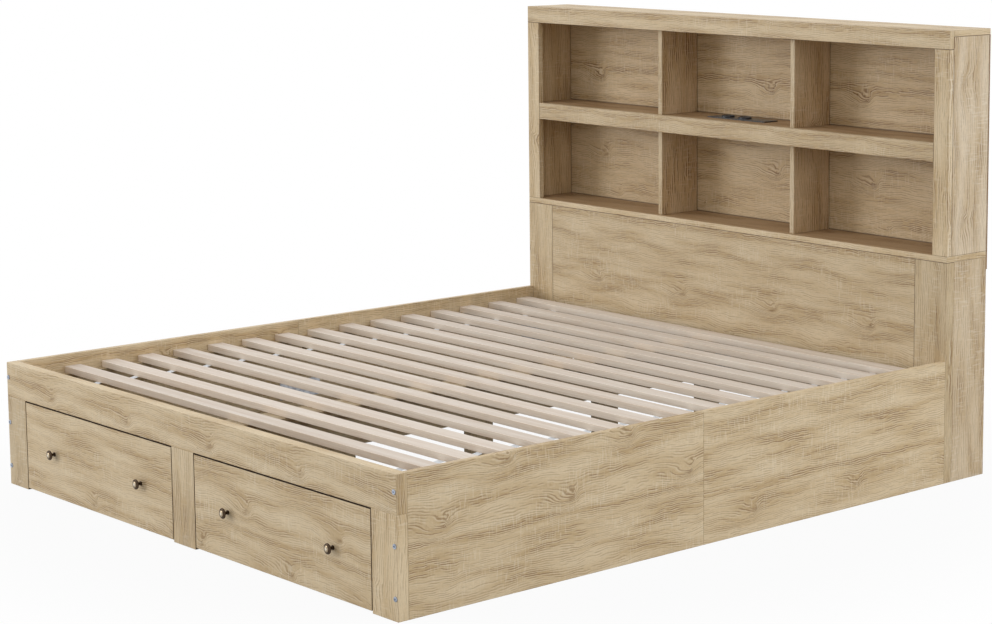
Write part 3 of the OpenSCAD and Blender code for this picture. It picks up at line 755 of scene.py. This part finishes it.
@dataclass(frozen=True)
class SlatWood:
    """Planed pale softwood, a little different from board to board."""

    name: str
    grain: Axis
    start: float = 0.0
    pitch: float = 129.9 * MM
    light: Colour = srgb(230, 219, 207)
    dark: Colour = srgb(214, 199, 184)
    streak: Colour = srgb(188, 165, 142)
    tints: tuple[FaceTint, ...] = ()
    figure: Streaks = Streaks(1.6, 46.0, 3.0, 0.55)
    fibres: Streaks = Streaks(12.0, 420.0, 2.0)
    board_offset: float = 3.0
    board_seed: float = 9.0
    ring_count: float = 9.0
    dark_figure: Fade = Fade(0.30, 0.70)
    dark_rings: Fade = Fade(0.55, 1.0, 0.22)
    dark_fibres: Fade = Fade(0.50, 0.80, 0.18)
    darkest_board: float = 0.95
    lightest_board: float = 1.02
    roughness: float = 0.62
    fibre_roughness: float = 0.12
    fibre_height: float = 0.6
    relief: float = 0.2 * MM
    specular: float = 0.3

    def material(self) -> bpy.types.Material:
        """Builds the wood.

        Returns:
            The finished material.
        """
        tree = ShaderTree(bpy.data.materials.new(self.name))
        place = tree.axes()
        main = self.grain.value
        first, second = [place[axis] for axis in "xyz" if axis != main]
        across = first + second
        own = tree.random(tree.math("FLOOR", (first - self.start) / self.pitch))
        along = place[main] + own * self.board_offset
        figure = self.figure.at(along, across, own * self.board_seed)
        fibres = self.fibres.at(along, across, own)
        colour = tree.mix(self.dark_figure.of(figure), self.light, self.dark)
        colour = tree.mix(self.dark_rings.of((figure * self.ring_count) % 1.0), colour, self.streak)
        colour = tree.mix(self.dark_fibres.of(fibres), colour, self.streak)
        colour = tree.dimmed(colour, self.darkest_board + (self.lightest_board - self.darkest_board) * own)
        colour = tree.tinted(colour, self.tints)
        rough = self.roughness + fibres.swing(self.fibre_roughness)
        height = self.fibre_height * fibres + (1 - self.fibre_height) * figure
        return tree.finish(colour, rough, height, self.relief, {"Specular IOR Level": self.specular})


@dataclass(frozen=True)
class SatinMetal:
    """Plated metal with a faint cloudiness."""

    name: str
    colour: Colour
    worn: Colour
    roughness: float
    clouds: float = 60.0
    cloud_detail: float = 3.0
    grit: float = 900.0
    worn_clouds: Fade = Fade(0.35, 0.70)
    cloud_roughness: float = 0.18
    grit_roughness: float = 0.10
    relief: float = 0.03 * MM

    def material(self) -> bpy.types.Material:
        """Builds the metal.

        Returns:
            The finished material.
        """
        tree = ShaderTree(bpy.data.materials.new(self.name))
        cloud = tree.speckle(self.clouds, self.cloud_detail)
        grit = tree.speckle(self.grit)
        colour = tree.mix(self.worn_clouds.of(cloud), self.colour, self.worn)
        rough = self.roughness + cloud.swing(self.cloud_roughness) + grit.swing(self.grit_roughness)
        return tree.finish(colour, rough, grit, self.relief, {"Metallic": 1.0})


@dataclass(frozen=True)
class AntiquePewter:
    """Cast pewter knobs: a dome with a painted highlight in its middle, a dark rim that is partly patina
    and partly painted reflection, and a dark neck.
    """

    name: str
    first_x: float
    pitch: float
    middle_z: float
    head_back: float
    # The middle's painted highlight.
    painted_highlight: Colour = srgb(214, 204, 186)
    dome: Colour = srgb(156, 140, 116)
    # The rim's dark colour is partly patina and partly painted reflection.
    rim: Colour = srgb(74, 60, 47)
    neck: Colour = srgb(58, 45, 33)
    clouds: float = 260.0
    cloud_detail: float = 3.0
    pits: float = 1500.0
    ragged_reach: float = 3 * MM
    painted_highlight_ends: Fade = Fade(2.5 * MM, 5.5 * MM)
    rim_starts: Fade = Fade(7.0 * MM, 9.5 * MM)
    neck_blend: float = 1 * MM
    dark_pits: Fade = Fade(0.55, 0.75, 0.4)
    roughness: float = 0.34
    cloud_roughness: float = 0.2
    relief: float = 0.04 * MM

    def material(self) -> bpy.types.Material:
        """Builds the metal.

        Returns:
            The finished material.
        """
        tree = ShaderTree(bpy.data.materials.new(self.name))
        place = tree.axes()
        offset = (place["x"] - self.first_x + self.pitch / 2) % self.pitch - self.pitch / 2
        radius = (offset ** 2 + (place["z"] - self.middle_z) ** 2) ** 0.5
        cloud = tree.speckle(self.clouds, self.cloud_detail)
        pits = tree.speckle(self.pits)
        # The distance from the knob's axis, made ragged by cloud noise, edges the painted highlight and
        # the rim.
        worn = radius + cloud.swing(self.ragged_reach)
        behind = place["y"].step(self.head_back - self.neck_blend, self.head_back + self.neck_blend)
        colour = tree.mix(self.painted_highlight_ends.of(worn), self.painted_highlight, self.dome)
        colour = tree.mix(self.rim_starts.of(worn), colour, self.rim)
        colour = tree.mix(behind, colour, self.neck)
        colour = tree.mix(self.dark_pits.of(pits), colour, self.rim)
        rough = self.roughness + cloud.swing(self.cloud_roughness)
        return tree.finish(colour, rough, pits, self.relief, {"Metallic": 1.0})


@dataclass(frozen=True)
class WovenTape:
    """White cotton tape with a fine plain weave, painted darker between the yarns as shade."""

    name: str
    yarn: float = 1.1 * MM
    white: Colour = srgb(226, 230, 234)
    dip_shade_and_soil: Colour = srgb(186, 190, 196)
    fuzz: float = 700.0
    soil: float = 9.0
    weave_dip_shade: Fade = Fade(0.55, 0.10, 0.7)
    soiled: Fade = Fade(0.45, 0.75, 0.25)
    roughness: float = 0.85
    fuzz_roughness: float = 0.1
    weave_height: float = 0.7
    relief: float = 0.3 * MM

    def material(self) -> bpy.types.Material:
        """Builds the cloth.

        Returns:
            The finished material.
        """
        tree = ShaderTree(bpy.data.materials.new(self.name))
        warp, weft = (tree.math("SINE", tree.axes()[axis] * (2 * math.pi / self.yarn)) for axis in "xy")
        weave = 0.5 + 0.5 * warp * weft
        fuzz = tree.speckle(self.fuzz)
        # Painted shade between the yarns of the weave; the same grey marks the soiled patches.
        colour = tree.mix(self.weave_dip_shade.of(weave), self.white, self.dip_shade_and_soil)
        colour = tree.mix(self.soiled.of(tree.speckle(self.soil)), colour, self.dip_shade_and_soil)
        height = self.weave_height * weave + (1 - self.weave_height) * fuzz
        return tree.finish(colour, self.roughness + fuzz.swing(self.fuzz_roughness), height, self.relief)


@dataclass(frozen=True)
class MouldedPlastic:
    """Moulded plastic with a fine spark-eroded texture."""

    name: str
    colour: Colour
    dust: Colour
    roughness: float = 0.45
    grain: float = 1400.0
    haze: float = 35.0
    haze_detail: float = 3.0
    dusty: Fade = Fade(0.40, 0.80, 0.6)
    haze_roughness: float = 0.16
    relief: float = 0.05 * MM

    def material(self) -> bpy.types.Material:
        """Builds the plastic.

        Returns:
            The finished material.
        """
        tree = ShaderTree(bpy.data.materials.new(self.name))
        haze = tree.speckle(self.haze, self.haze_detail)
        colour = tree.mix(self.dusty.of(haze), self.colour, self.dust)
        rough = self.roughness + haze.swing(self.haze_roughness)
        return tree.finish(colour, rough, tree.speckle(self.grain), self.relief)


def dress(node: str, material: bpy.types.Material) -> None:
    """Gives a CAD node one material on all its slots.

    Args:
        node: The node's name.
        material: The material.
    """
    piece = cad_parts[node]
    slots = max(1, len(piece.data.materials))
    piece.data.materials.clear()
    for _ in range(slots):
        piece.data.materials.append(material)
    log.info("dressed %s", node)


def ribbon(
    mesh: bmesh.types.BMesh,
    line: Sequence[tuple[float, float]],
    middle: float,
    width: float,
    thickness: float,
) -> None:
    """Adds one closed band that follows a line, with slightly thinner edges.

    Args:
        mesh: The mesh that the band is added to.
        line: The (y, z) points of its upper face.
        middle: The x of its middle.
        width: Its width.
        thickness: Its thickness.
    """
    # Shares of the width from the middle, each with the share of the thickness that is missing there.
    profile = ((-0.50, 0.30), (-0.46, 0.05), (-0.20, 0.0), (0.20, 0.0), (0.46, 0.05), (0.50, 0.30))
    rings = []
    for y, z in line:
        top = [(middle + off * width, y, z - loss * thickness) for off, loss in profile]
        under = [(middle + off * width, y, z - (1 - loss) * thickness) for off, loss in profile]
        rings.append([mesh.verts.new(corner) for corner in top + under[::-1]])
    for near, far in zip(rings, rings[1:]):
        for corner in range(len(near)):
            following = (corner + 1) % len(near)
            mesh.faces.new((near[corner], near[following], far[following], far[corner]))
    mesh.faces.new(rings[0])
    mesh.faces.new(rings[-1][::-1])


def new_piece(name: str, mesh: bmesh.types.BMesh, material: bpy.types.Material) -> bpy.types.Object:
    """Turns a mesh into a smooth piece of the scene.

    Args:
        name: The piece's name.
        mesh: Its mesh, which is freed.
        material: Its finish.

    Returns:
        The new piece, at the origin.
    """
    bmesh.ops.recalc_face_normals(mesh, faces=mesh.faces)
    data = bpy.data.meshes.new(name)
    mesh.to_mesh(data)
    mesh.free()
    data.shade_smooth()
    data.materials.append(material)
    piece = bpy.data.objects.new(name, data)
    bpy.context.scene.collection.objects.link(piece)
    log.info("made %s", name)
    return piece


@dataclass
class Footboard:
    """The doubled front frame round the drawers, with its bolts.

    A shift is the place in the print at which a board's foil starts.
    """

    skin: float = 1 * MM
    rail_shift: float = 0.4
    upright_shift: float = 2.3
    upright_shift_step: float = 1.7
    upright_shades: tuple[float, float, float] = (0.91, 1.06, 0.98)
    bolt: SatinMetal = SatinMetal("zinc_bolt", srgb(168, 175, 188), srgb(138, 146, 160), 0.42)

    def dress(self) -> None:
        """Puts foil on the rail, the posts and the stile, and zinc on the bolts."""
        rail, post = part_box("footboard_top_rail"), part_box("footboard_post_right")
        # The rail's underside and the inner faces of the posts and stile are painted dark brown as shade
        # in the drawer openings.
        under = BareOrShadedFaces(Axis.UP, high=rail[0].z + self.skin)
        foil = OakFoil("foil_foot_rail", Axis.ACROSS, shift=self.rail_shift, bare_or_shaded_faces=(under,))
        dress("footboard_top_rail", foil.material())
        reach = post[0].x + self.skin
        inner = BareOrShadedFaces(Axis.ACROSS, low=-reach, high=reach)
        uprights = ("post_left", "post_right", "centre_stile")
        for place, (upright, shade) in enumerate(zip(uprights, self.upright_shades)):
            foil = OakFoil(
                f"foil_foot_{upright}",
                Axis.UP,
                shift=self.upright_shift + self.upright_shift_step * place,
                shade=shade,
                lines_per_metre=UPRIGHT_LINES,
                bare_or_shaded_faces=(inner,),
            )
            dress(f"footboard_{upright}", foil.material())
        dress("footboard_bolts", self.bolt.material())


@dataclass
class SideRails:
    """The two-board side rails with their cleats, plates and brackets."""

    halves: tuple[str, str] = ("foot", "head")
    first_shift: float = 0.7
    side_shift: float = 3.1
    half_shift: float = 1.9
    figure: float = 1.15
    cleat_shift: float = 5.2
    # The cleats' foil is darkened as painted shade under the slats.
    cleat_painted_shade: float = 0.72

    def dress(self, zinc: bpy.types.Material) -> None:
        """Puts foil on each half rail and on the cleats, and zinc on the steel.

        Args:
            zinc: The finish of the plates, brackets and screws.
        """
        for side_place, side in enumerate(SIDES):
            for half_place, half in enumerate(self.halves):
                shift = self.first_shift + self.side_shift * side_place + self.half_shift * half_place
                name = f"rail_{side}_{half}"
                foil = OakFoil(f"foil_{name}", Axis.ALONG, shift=shift, figure=self.figure)
                dress(f"side_{name}", foil.material())
        cleats = OakFoil("foil_cleats", Axis.ALONG, shift=self.cleat_shift, shade=self.cleat_painted_shade)
        dress("slat_cleats", cleats.material())
        for node in ("steel_brackets", "bracket_screws"):
            dress(node, zinc)


@dataclass
class SlatDeck:
    """The slats, the two tapes that hold them at their distance, and the centre support."""

    slat_count: int = 16
    slat_width: float = 55 * MM
    tape_width: float = 25 * MM
    tape_thickness: float = 1 * MM
    curve_steps: int = 12
    slat_light: Colour = srgb(236, 224, 209)
    slat_dark: Colour = srgb(224, 208, 190)
    slat_streak: Colour = srgb(199, 170, 140)
    # Painted shade that darkens the slats' top and bottom faces against their fronts.
    slat_top_painted_shade: FaceTint = FaceTint(Axis.UP, (0.86, 0.87, 0.90))
    # The support's foil is darkened as painted shade under the slats.
    support_painted_shade: float = 0.62
    beam_shift: float = 6.1
    leg_shift: float = 7.7
    dowels: SlatWood = SlatWood("beech", Axis.UP, light=srgb(205, 170, 128), dark=srgb(190, 152, 110))

    def dress(self) -> None:
        """Puts pale wood on the slats, with painted shade on their tops, and foil darkened to brown as
        painted shade on the support.
        """
        low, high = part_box("slats")
        pitch = (high.y - low.y - self.slat_width) / (self.slat_count - 1)
        half_gap = (pitch - self.slat_width) / 2
        wood = SlatWood(
            "slat_pine",
            Axis.ACROSS,
            start=low.y - half_gap,
            pitch=pitch,
            light=self.slat_light,
            dark=self.slat_dark,
            streak=self.slat_streak,
            tints=(self.slat_top_painted_shade,),
        )
        dress("slats", wood.material())
        self._tapes(low.y, pitch)
        beam = OakFoil("foil_support", Axis.ALONG, shift=self.beam_shift, shade=self.support_painted_shade)
        dress("centre_beam_top", beam.material())
        dress("centre_beam_web", beam.material())
        legs = OakFoil("foil_support_legs", Axis.UP, shift=self.leg_shift, shade=self.support_painted_shade)
        dress("centre_legs", legs.material())
        dress("dowels", self.dowels.material())

    def _tapes(self, first_y: float, pitch: float) -> None:
        """Makes the two woven tapes, flat under each slat and sagging in each gap.

        Args:
            first_y: Where the first slat starts.
            pitch: The distance from one slat to the next.
        """
        low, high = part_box("slat_tapes")
        sag = high.z - low.z - self.tape_thickness
        gap = pitch - self.slat_width
        line = [(low.y, high.z)]
        for slat in range(self.slat_count - 1):
            start = first_y + slat * pitch + self.slat_width
            for step in range(self.curve_steps + 1):
                share = step / self.curve_steps
                line.append((start + share * gap, high.z - 4 * sag * share * (1 - share)))
        line.append((high.y, high.z))
        mesh = bmesh.new()
        for middle in (low.x + self.tape_width / 2, high.x - self.tape_width / 2):
            ribbon(mesh, line, middle, self.tape_width, self.tape_thickness)
        tapes = new_piece("woven_slat_tapes", mesh, WovenTape("cotton_tape").material())
        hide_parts("slat_tapes")
        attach(tapes, FRAME_BODY)


@dataclass
class Headboard:
    """The headboard's base and the bookcase on it."""

    skin: float = 1 * MM
    # How far the painted shade reaches from the compartments' inside corners.
    corner: float = 5 * MM
    first_shift: float = 0.9
    shift_step: float = 1.37
    inside: tuple[str, str] = ("bookcase_back", "bookcase_dividers")
    # The back and dividers are darkened as painted shade inside the compartments.
    inside_painted_shade: float = 0.90
    inside_figure: float = 1.3
    hardboard: Colour = srgb(138, 106, 74)
    # What multiplies the colour of faces that the bookcase shades or that catch more light.
    floor_tint: Colour = (0.66, 0.55, 0.47)
    back_tint: Colour = (1.04, 0.99, 0.93)
    divider_tint: Colour = (1.08, 1.00, 0.94)
    inner_tint: Colour = (0.91, 0.85, 0.78)
    outer_tints: Mapping[str, Colour] = field(default_factory=lambda: {
        "bookcase_stile": (1.13, 1.18, 1.30), "bookcase_side": (1.00, 1.03, 1.14),
        "headboard_base_side": (0.94, 0.95, 1.01),
    })
    # Each board's colour multiplier, partly its own tone and partly painted shade.
    shades: Mapping[str, float] = field(default_factory=lambda: {
        "headboard_panel": 0.90, "headboard_post_left": 0.94, "headboard_post_right": 0.88,
        "bookcase_shelf_fascia": 0.92, "bookcase_top_fascia": 0.97,
    })

    def dress(self) -> None:
        """Puts foil on every board, with the grain along it."""
        boards: dict[str, tuple[Axis, Axis]] = {
            "headboard_post_left": (Axis.UP, Axis.ACROSS),
            "headboard_post_right": (Axis.UP, Axis.ACROSS),
            "headboard_panel": (Axis.ACROSS, Axis.UP),
            "headboard_base_side_left": (Axis.UP, Axis.ALONG),
            "headboard_base_side_right": (Axis.UP, Axis.ALONG),
            "bookcase_bottom": (Axis.ACROSS, Axis.ALONG),
            "bookcase_side_left": (Axis.UP, Axis.ALONG),
            "bookcase_side_right": (Axis.UP, Axis.ALONG),
            "bookcase_top": (Axis.ACROSS, Axis.ALONG),
            "bookcase_shelf": (Axis.ACROSS, Axis.ALONG),
            "bookcase_back": (Axis.ACROSS, Axis.UP),
            "bookcase_stile_left": (Axis.UP, Axis.ACROSS),
            "bookcase_stile_right": (Axis.UP, Axis.ACROSS),
            "bookcase_top_fascia": (Axis.ACROSS, Axis.UP),
            "bookcase_shelf_fascia": (Axis.ACROSS, Axis.UP),
            "bookcase_dividers": (Axis.UP, Axis.ALONG),
        }
        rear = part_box("bookcase_back")[1].y - self.skin
        bare_or_shaded_faces = (BareOrShadedFaces(Axis.ACROSS), BareOrShadedFaces(Axis.UP), BareOrShadedFaces(Axis.ALONG, low=rear))
        tints, joints = self._tints(), self._joints()
        for place, (node, (grain, end)) in enumerate(boards.items()):
            inside = node in self.inside
            foil = OakFoil(
                f"foil_{node}",
                grain,
                end,
                shift=self.first_shift + self.shift_step * place,
                shade=self.inside_painted_shade if inside else self.shades.get(node, 1.0),
                figure=self.inside_figure if inside else 1.0,
                lines_per_metre=UPRIGHT_LINES if grain is Axis.UP else LEVEL_LINES,
                tints=tints.get(node, ()),
                joints=joints.get(node, ()),
                bare_or_shaded_faces=bare_or_shaded_faces if node == "bookcase_back" else (),
                bare_or_shaded_colour=self.hardboard,
            )
            dress(node, foil.material())

    def _tints(self) -> dict[str, tuple[FaceTint, ...]]:
        """The faces with painted shade or painted light, darker or paler than the rest of their board.

        Returns:
            The tints by node.
        """
        tints: dict[str, tuple[FaceTint, ...]] = {
            "bookcase_bottom": (FaceTint(Axis.UP, self.floor_tint),),
            "bookcase_shelf": (FaceTint(Axis.UP, self.floor_tint),),
            "bookcase_back": (FaceTint(Axis.ALONG, self.back_tint),),
            "bookcase_dividers": (FaceTint(Axis.ACROSS, self.divider_tint),),
        }
        for stem, colour in self.outer_tints.items():
            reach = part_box(f"{stem}_right")[1].x - self.skin
            outer = FaceTint(Axis.ACROSS, colour, nearest=reach)
            inner = FaceTint(Axis.ACROSS, self.inner_tint, farthest=reach)
            for side in SIDES:
                tints[f"{stem}_{side}"] = (outer, inner) if stem == "bookcase_side" else (outer,)
        return tints

    def _joints(self) -> dict[str, tuple[JointShadow, ...]]:
        """The joints that show as painted shadow lines.

        Returns:
            The joint shadows by node.
        """
        bottom, shelf, back = (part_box(f"bookcase_{part}") for part in ("bottom", "shelf", "back"))
        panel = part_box("headboard_panel")
        stile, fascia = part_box("bookcase_stile_left"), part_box("bookcase_shelf_fascia")
        seat = JointShadow(Axis.UP, bottom[0].z)
        panel_ends = tuple(JointShadow(Axis.ACROSS, corner.x) for corner in panel)
        fascia_ends = tuple(JointShadow(Axis.ACROSS, corner.x) for corner in fascia)
        # Painted shade in the compartments' inside corners, along the floors and the back.
        floors = tuple(JointShadow(Axis.UP, board[1].z, self.corner) for board in (bottom, shelf))
        at_back = JointShadow(Axis.ALONG, back[0].y, self.corner)
        under_top = JointShadow(Axis.UP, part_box("bookcase_side_left")[1].z)
        over_stile = JointShadow(Axis.UP, stile[1].z)
        under_stile = JointShadow(Axis.UP, stile[0].z)
        behind_stile = JointShadow(Axis.ALONG, stile[1].y)
        joints = {
            "bookcase_bottom": (seat, at_back),
            "bookcase_shelf": (at_back,),
            "bookcase_dividers": (at_back,),
            "bookcase_top": (under_top,),
            "bookcase_top_fascia": (over_stile,),
            "bookcase_shelf_fascia": fascia_ends,
            "bookcase_back": floors,
            "headboard_panel": (seat, *panel_ends),
        }
        for side in SIDES:
            joints[f"bookcase_side_{side}"] = (at_back, under_top, under_stile, behind_stile)
            joints[f"bookcase_stile_{side}"] = (over_stile, under_stile, *fascia_ends)
            joints[f"headboard_post_{side}"] = (seat, *panel_ends)
        return joints


@dataclass
class ChargingUnit:
    """The black cover plate with its outlets, and the housing under it."""

    colour: Colour = srgb(44, 46, 51)
    dust: Colour = srgb(74, 78, 85)
    roughness: float = 0.32

    def dress(self) -> None:
        """Puts black plastic on both parts."""
        plastic = MouldedPlastic("black_plastic", self.colour, self.dust, self.roughness).material()
        for part in ("plate", "housing"):
            dress(f"charging_unit_{part}", plastic)


@dataclass
class Drawer:
    """One drawer: its boards, knobs, screws and casters."""

    side: str
    place: int
    knob_head: float = 8 * MM
    front_shift: float = 1.9
    front_shift_step: float = 2.6
    front_figure: float = 0.9
    box_shift: float = 4.4
    # The box's back and sides are darkened as painted shade under the deck.
    box_painted_shade: float = 0.72

    def dress(self, zinc: bpy.types.Material, softwood: bpy.types.Material) -> None:
        """Puts foil on the boards, pewter on the knobs and plastic on the wheels.

        Args:
            zinc: The finish of the screws, brackets and axles.
            softwood: The finish of the bottom panel and the battens.
        """
        stem = f"drawer_{self.side}"
        # The front's ends, top and bottom are painted dark brown as shade in the gaps round it.
        front = OakFoil(
            f"foil_{stem}_front",
            Axis.ACROSS,
            shift=self.front_shift + self.front_shift_step * self.place,
            figure=self.front_figure,
            bare_or_shaded_faces=(BareOrShadedFaces(Axis.ACROSS), BareOrShadedFaces(Axis.UP)),
        )
        back = OakFoil(f"foil_{stem}_back", Axis.ACROSS, shade=self.box_painted_shade)
        box = OakFoil(f"foil_{stem}_box", Axis.ALONG, shift=self.box_shift, shade=self.box_painted_shade)
        wheel = MouldedPlastic(f"wheel_{self.side}", colour=srgb(52, 52, 54), dust=srgb(74, 74, 76))
        finishes = {
            front.material(): ("front",),
            back.material(): ("back",),
            box.material(): ("inner_side", "outer_side"),
            softwood: ("bottom", "battens"),
            zinc: ("screws", "caster_brackets", "caster_axles"),
            self._pewter().material(): ("knobs",),
            wheel.material(): ("foot_wheels", "head_wheels"),
        }
        for finish, parts in finishes.items():
            for part in parts:
                dress(f"{stem}_{part}", finish)

    def _pewter(self) -> AntiquePewter:
        """Chooses the knobs' pewter, its painted highlight and dark rim set by the distance from each
        knob's own axis.

        Returns:
            The finish of both knobs.
        """
        low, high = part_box(f"drawer_{self.side}_knobs")
        radius = (high.z - low.z) / 2
        return AntiquePewter(
            f"pewter_{self.side}",
            first_x=low.x + radius,
            pitch=high.x - low.x - 2 * radius,
            middle_z=(low.z + high.z) / 2,
            head_back=low.y + self.knob_head,
        )


@dataclass(frozen=True)
class Lamp:
    """A square lamp that faces the bed, its place and size in metres and its power in watts."""

    name: str
    place: tuple[float, float, float]
    size: float
    power: float
    aim: tuple[float, float, float] = (0.0, 0.3, 0.5)

    def hang(self) -> None:
        """Hangs the lamp in the scene."""
        data = bpy.data.lights.new(self.name, "AREA")
        data.energy = self.power
        data.size = self.size
        lamp = bpy.data.objects.new(self.name, data)
        lamp.location = self.place
        toward = Vector(self.aim) - Vector(self.place)
        lamp.rotation_mode = "QUATERNION"
        lamp.rotation_quaternion = toward.to_track_quat("-Z", "Y")
        bpy.context.scene.collection.objects.link(lamp)


@dataclass
class Studio:
    """The white floor, the soft lamps and the camera."""

    # The camera's place and turn, and its focal length and centre in pixels of an image of that size.
    camera_at: Vector = field(default_factory=lambda: Vector((5.8446, -4.7265, 1.855)))
    yaw: float = math.radians(46.741)
    pitch: float = math.radians(7.861)
    roll: float = math.radians(0.032)
    focal_px: float = 2472.1
    centre_px: tuple[float, float] = (679.3, 217.4)
    image_px: tuple[int, int] = (992, 624)
    sensor: float = 36.0
    view_end: float = 100.0
    # The floor shows this share of its shade, out to where the shadow ends.
    floor_half: float = 30.0
    floor_colour: Colour = (0.30, 0.30, 0.30)
    white: Colour = (1.0, 1.0, 1.0)
    shadow_share: float = 0.05
    shadow_end: Fade = Fade(1.3, 2.2)
    world_strength: float = 0.80
    overhead_strength: float = 1.12
    overhead_part: Fade = Fade(0.35, 0.80)
    lamps: tuple[Lamp, ...] = (
        Lamp("front", place=(-8.5, -9.0, 2.6), size=4.6, power=430.0),
        Lamp("right", place=(6.5, 2.6, 1.4), size=3.5, power=120.0),
    )

    def build(self) -> None:
        """Makes the floor, the world, the lamps and the camera."""
        self._floor()
        self._world()
        for lamp in self.lamps:
            lamp.hang()
        self._camera()
        log.info("studio built")

    def _camera(self) -> None:
        """Places the camera that took the photograph, with the shift that its framing needs."""
        data = bpy.data.cameras.new("camera")
        width, height = self.image_px
        data.sensor_width = self.sensor
        data.lens = self.focal_px / width * self.sensor
        data.shift_x = (width / 2 - self.centre_px[0]) / width
        data.shift_y = (self.centre_px[1] - height / 2) / width
        data.clip_end = self.view_end
        flat = math.cos(self.pitch)
        forward = Vector((-math.sin(self.yaw) * flat, math.cos(self.yaw) * flat, -math.sin(self.pitch)))
        right = Vector((math.cos(self.yaw), math.sin(self.yaw), 0.0))
        up = right.cross(forward)
        turn = Matrix((right, up, -forward)).transposed() @ Matrix.Rotation(-self.roll, 3, "Z")
        camera = bpy.data.objects.new("camera", data)
        camera.matrix_world = Matrix.Translation(self.camera_at) @ turn.to_4x4()
        bpy.context.scene.collection.objects.link(camera)
        bpy.context.scene.camera = camera

    def _floor(self) -> None:
        """Lays a white floor that keeps the bed's shadow faintly."""
        tree = ShaderTree(bpy.data.materials.new("white_floor"))
        matt = tree.add("ShaderNodeBsdfDiffuse", inputs={"Color": self.floor_colour})
        white = tree.add("ShaderNodeEmission", inputs={"Color": self.white, "Strength": 1.0})
        place = tree.axes()
        distance = (place["x"] ** 2 + place["y"] ** 2) ** 0.5
        white_share = 1 - self.shadow_share + self.shadow_share * self.shadow_end.of(distance)
        mixed = tree.add(
            "ShaderNodeMixShader",
            inputs={0: tree.seen() * white_share, 1: matt.outputs[0], 2: white.outputs[0]},
        )
        tree.add("ShaderNodeOutputMaterial", inputs={"Surface": mixed.outputs[0]})
        half = self.floor_half
        corners = [(-half, -half, 0), (half, -half, 0), (half, half, 0), (-half, half, 0)]
        data = bpy.data.meshes.new("floor")
        data.from_pydata(corners, [], [(0, 1, 2, 3)])
        data.materials.append(tree.owner)
        floor = bpy.data.objects.new("floor", data)
        bpy.context.scene.collection.objects.link(floor)

    def _world(self) -> None:
        """Lights the bed evenly, a little more from overhead, and shows white behind it."""
        world = bpy.data.worlds.new("studio")
        bpy.context.scene.world = world
        tree = ShaderTree(world)
        overhead = self.overhead_part.of(tree.split("Generated")["z"])
        light = self.world_strength + (self.overhead_strength - self.world_strength) * overhead
        strength = light + (1 - light) * tree.seen()
        sky = tree.add("ShaderNodeBackground", inputs={"Color": self.white, "Strength": strength})
        tree.add("ShaderNodeOutputWorld", inputs={"Surface": sky.outputs[0]})


def write_sizes() -> None:
    """Brings the view layer up to date."""
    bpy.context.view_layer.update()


def main() -> None:
    """Builds the studio and dresses the bed, one sub-assembly after another."""
    logging.basicConfig(level=logging.INFO, format="%(message)s")
    bpy.context.scene.view_settings.view_transform = "Standard"
    Studio().build()
    zinc = SatinMetal("zinc_plate", colour=srgb(176, 178, 182), worn=srgb(140, 142, 148), roughness=0.38)
    softwood = SlatWood("softwood", Axis.ACROSS, light=srgb(188, 162, 128), dark=srgb(166, 138, 104))
    steel_finish, panel_finish = zinc.material(), softwood.material()
    Footboard().dress()
    SideRails().dress(steel_finish)
    SlatDeck().dress()
    Headboard().dress()
    ChargingUnit().dress()
    for place, side in enumerate(SIDES):
        Drawer(side, place).dress(steel_finish, panel_finish)
    write_sizes()


if __name__ == "__main__":
    main()
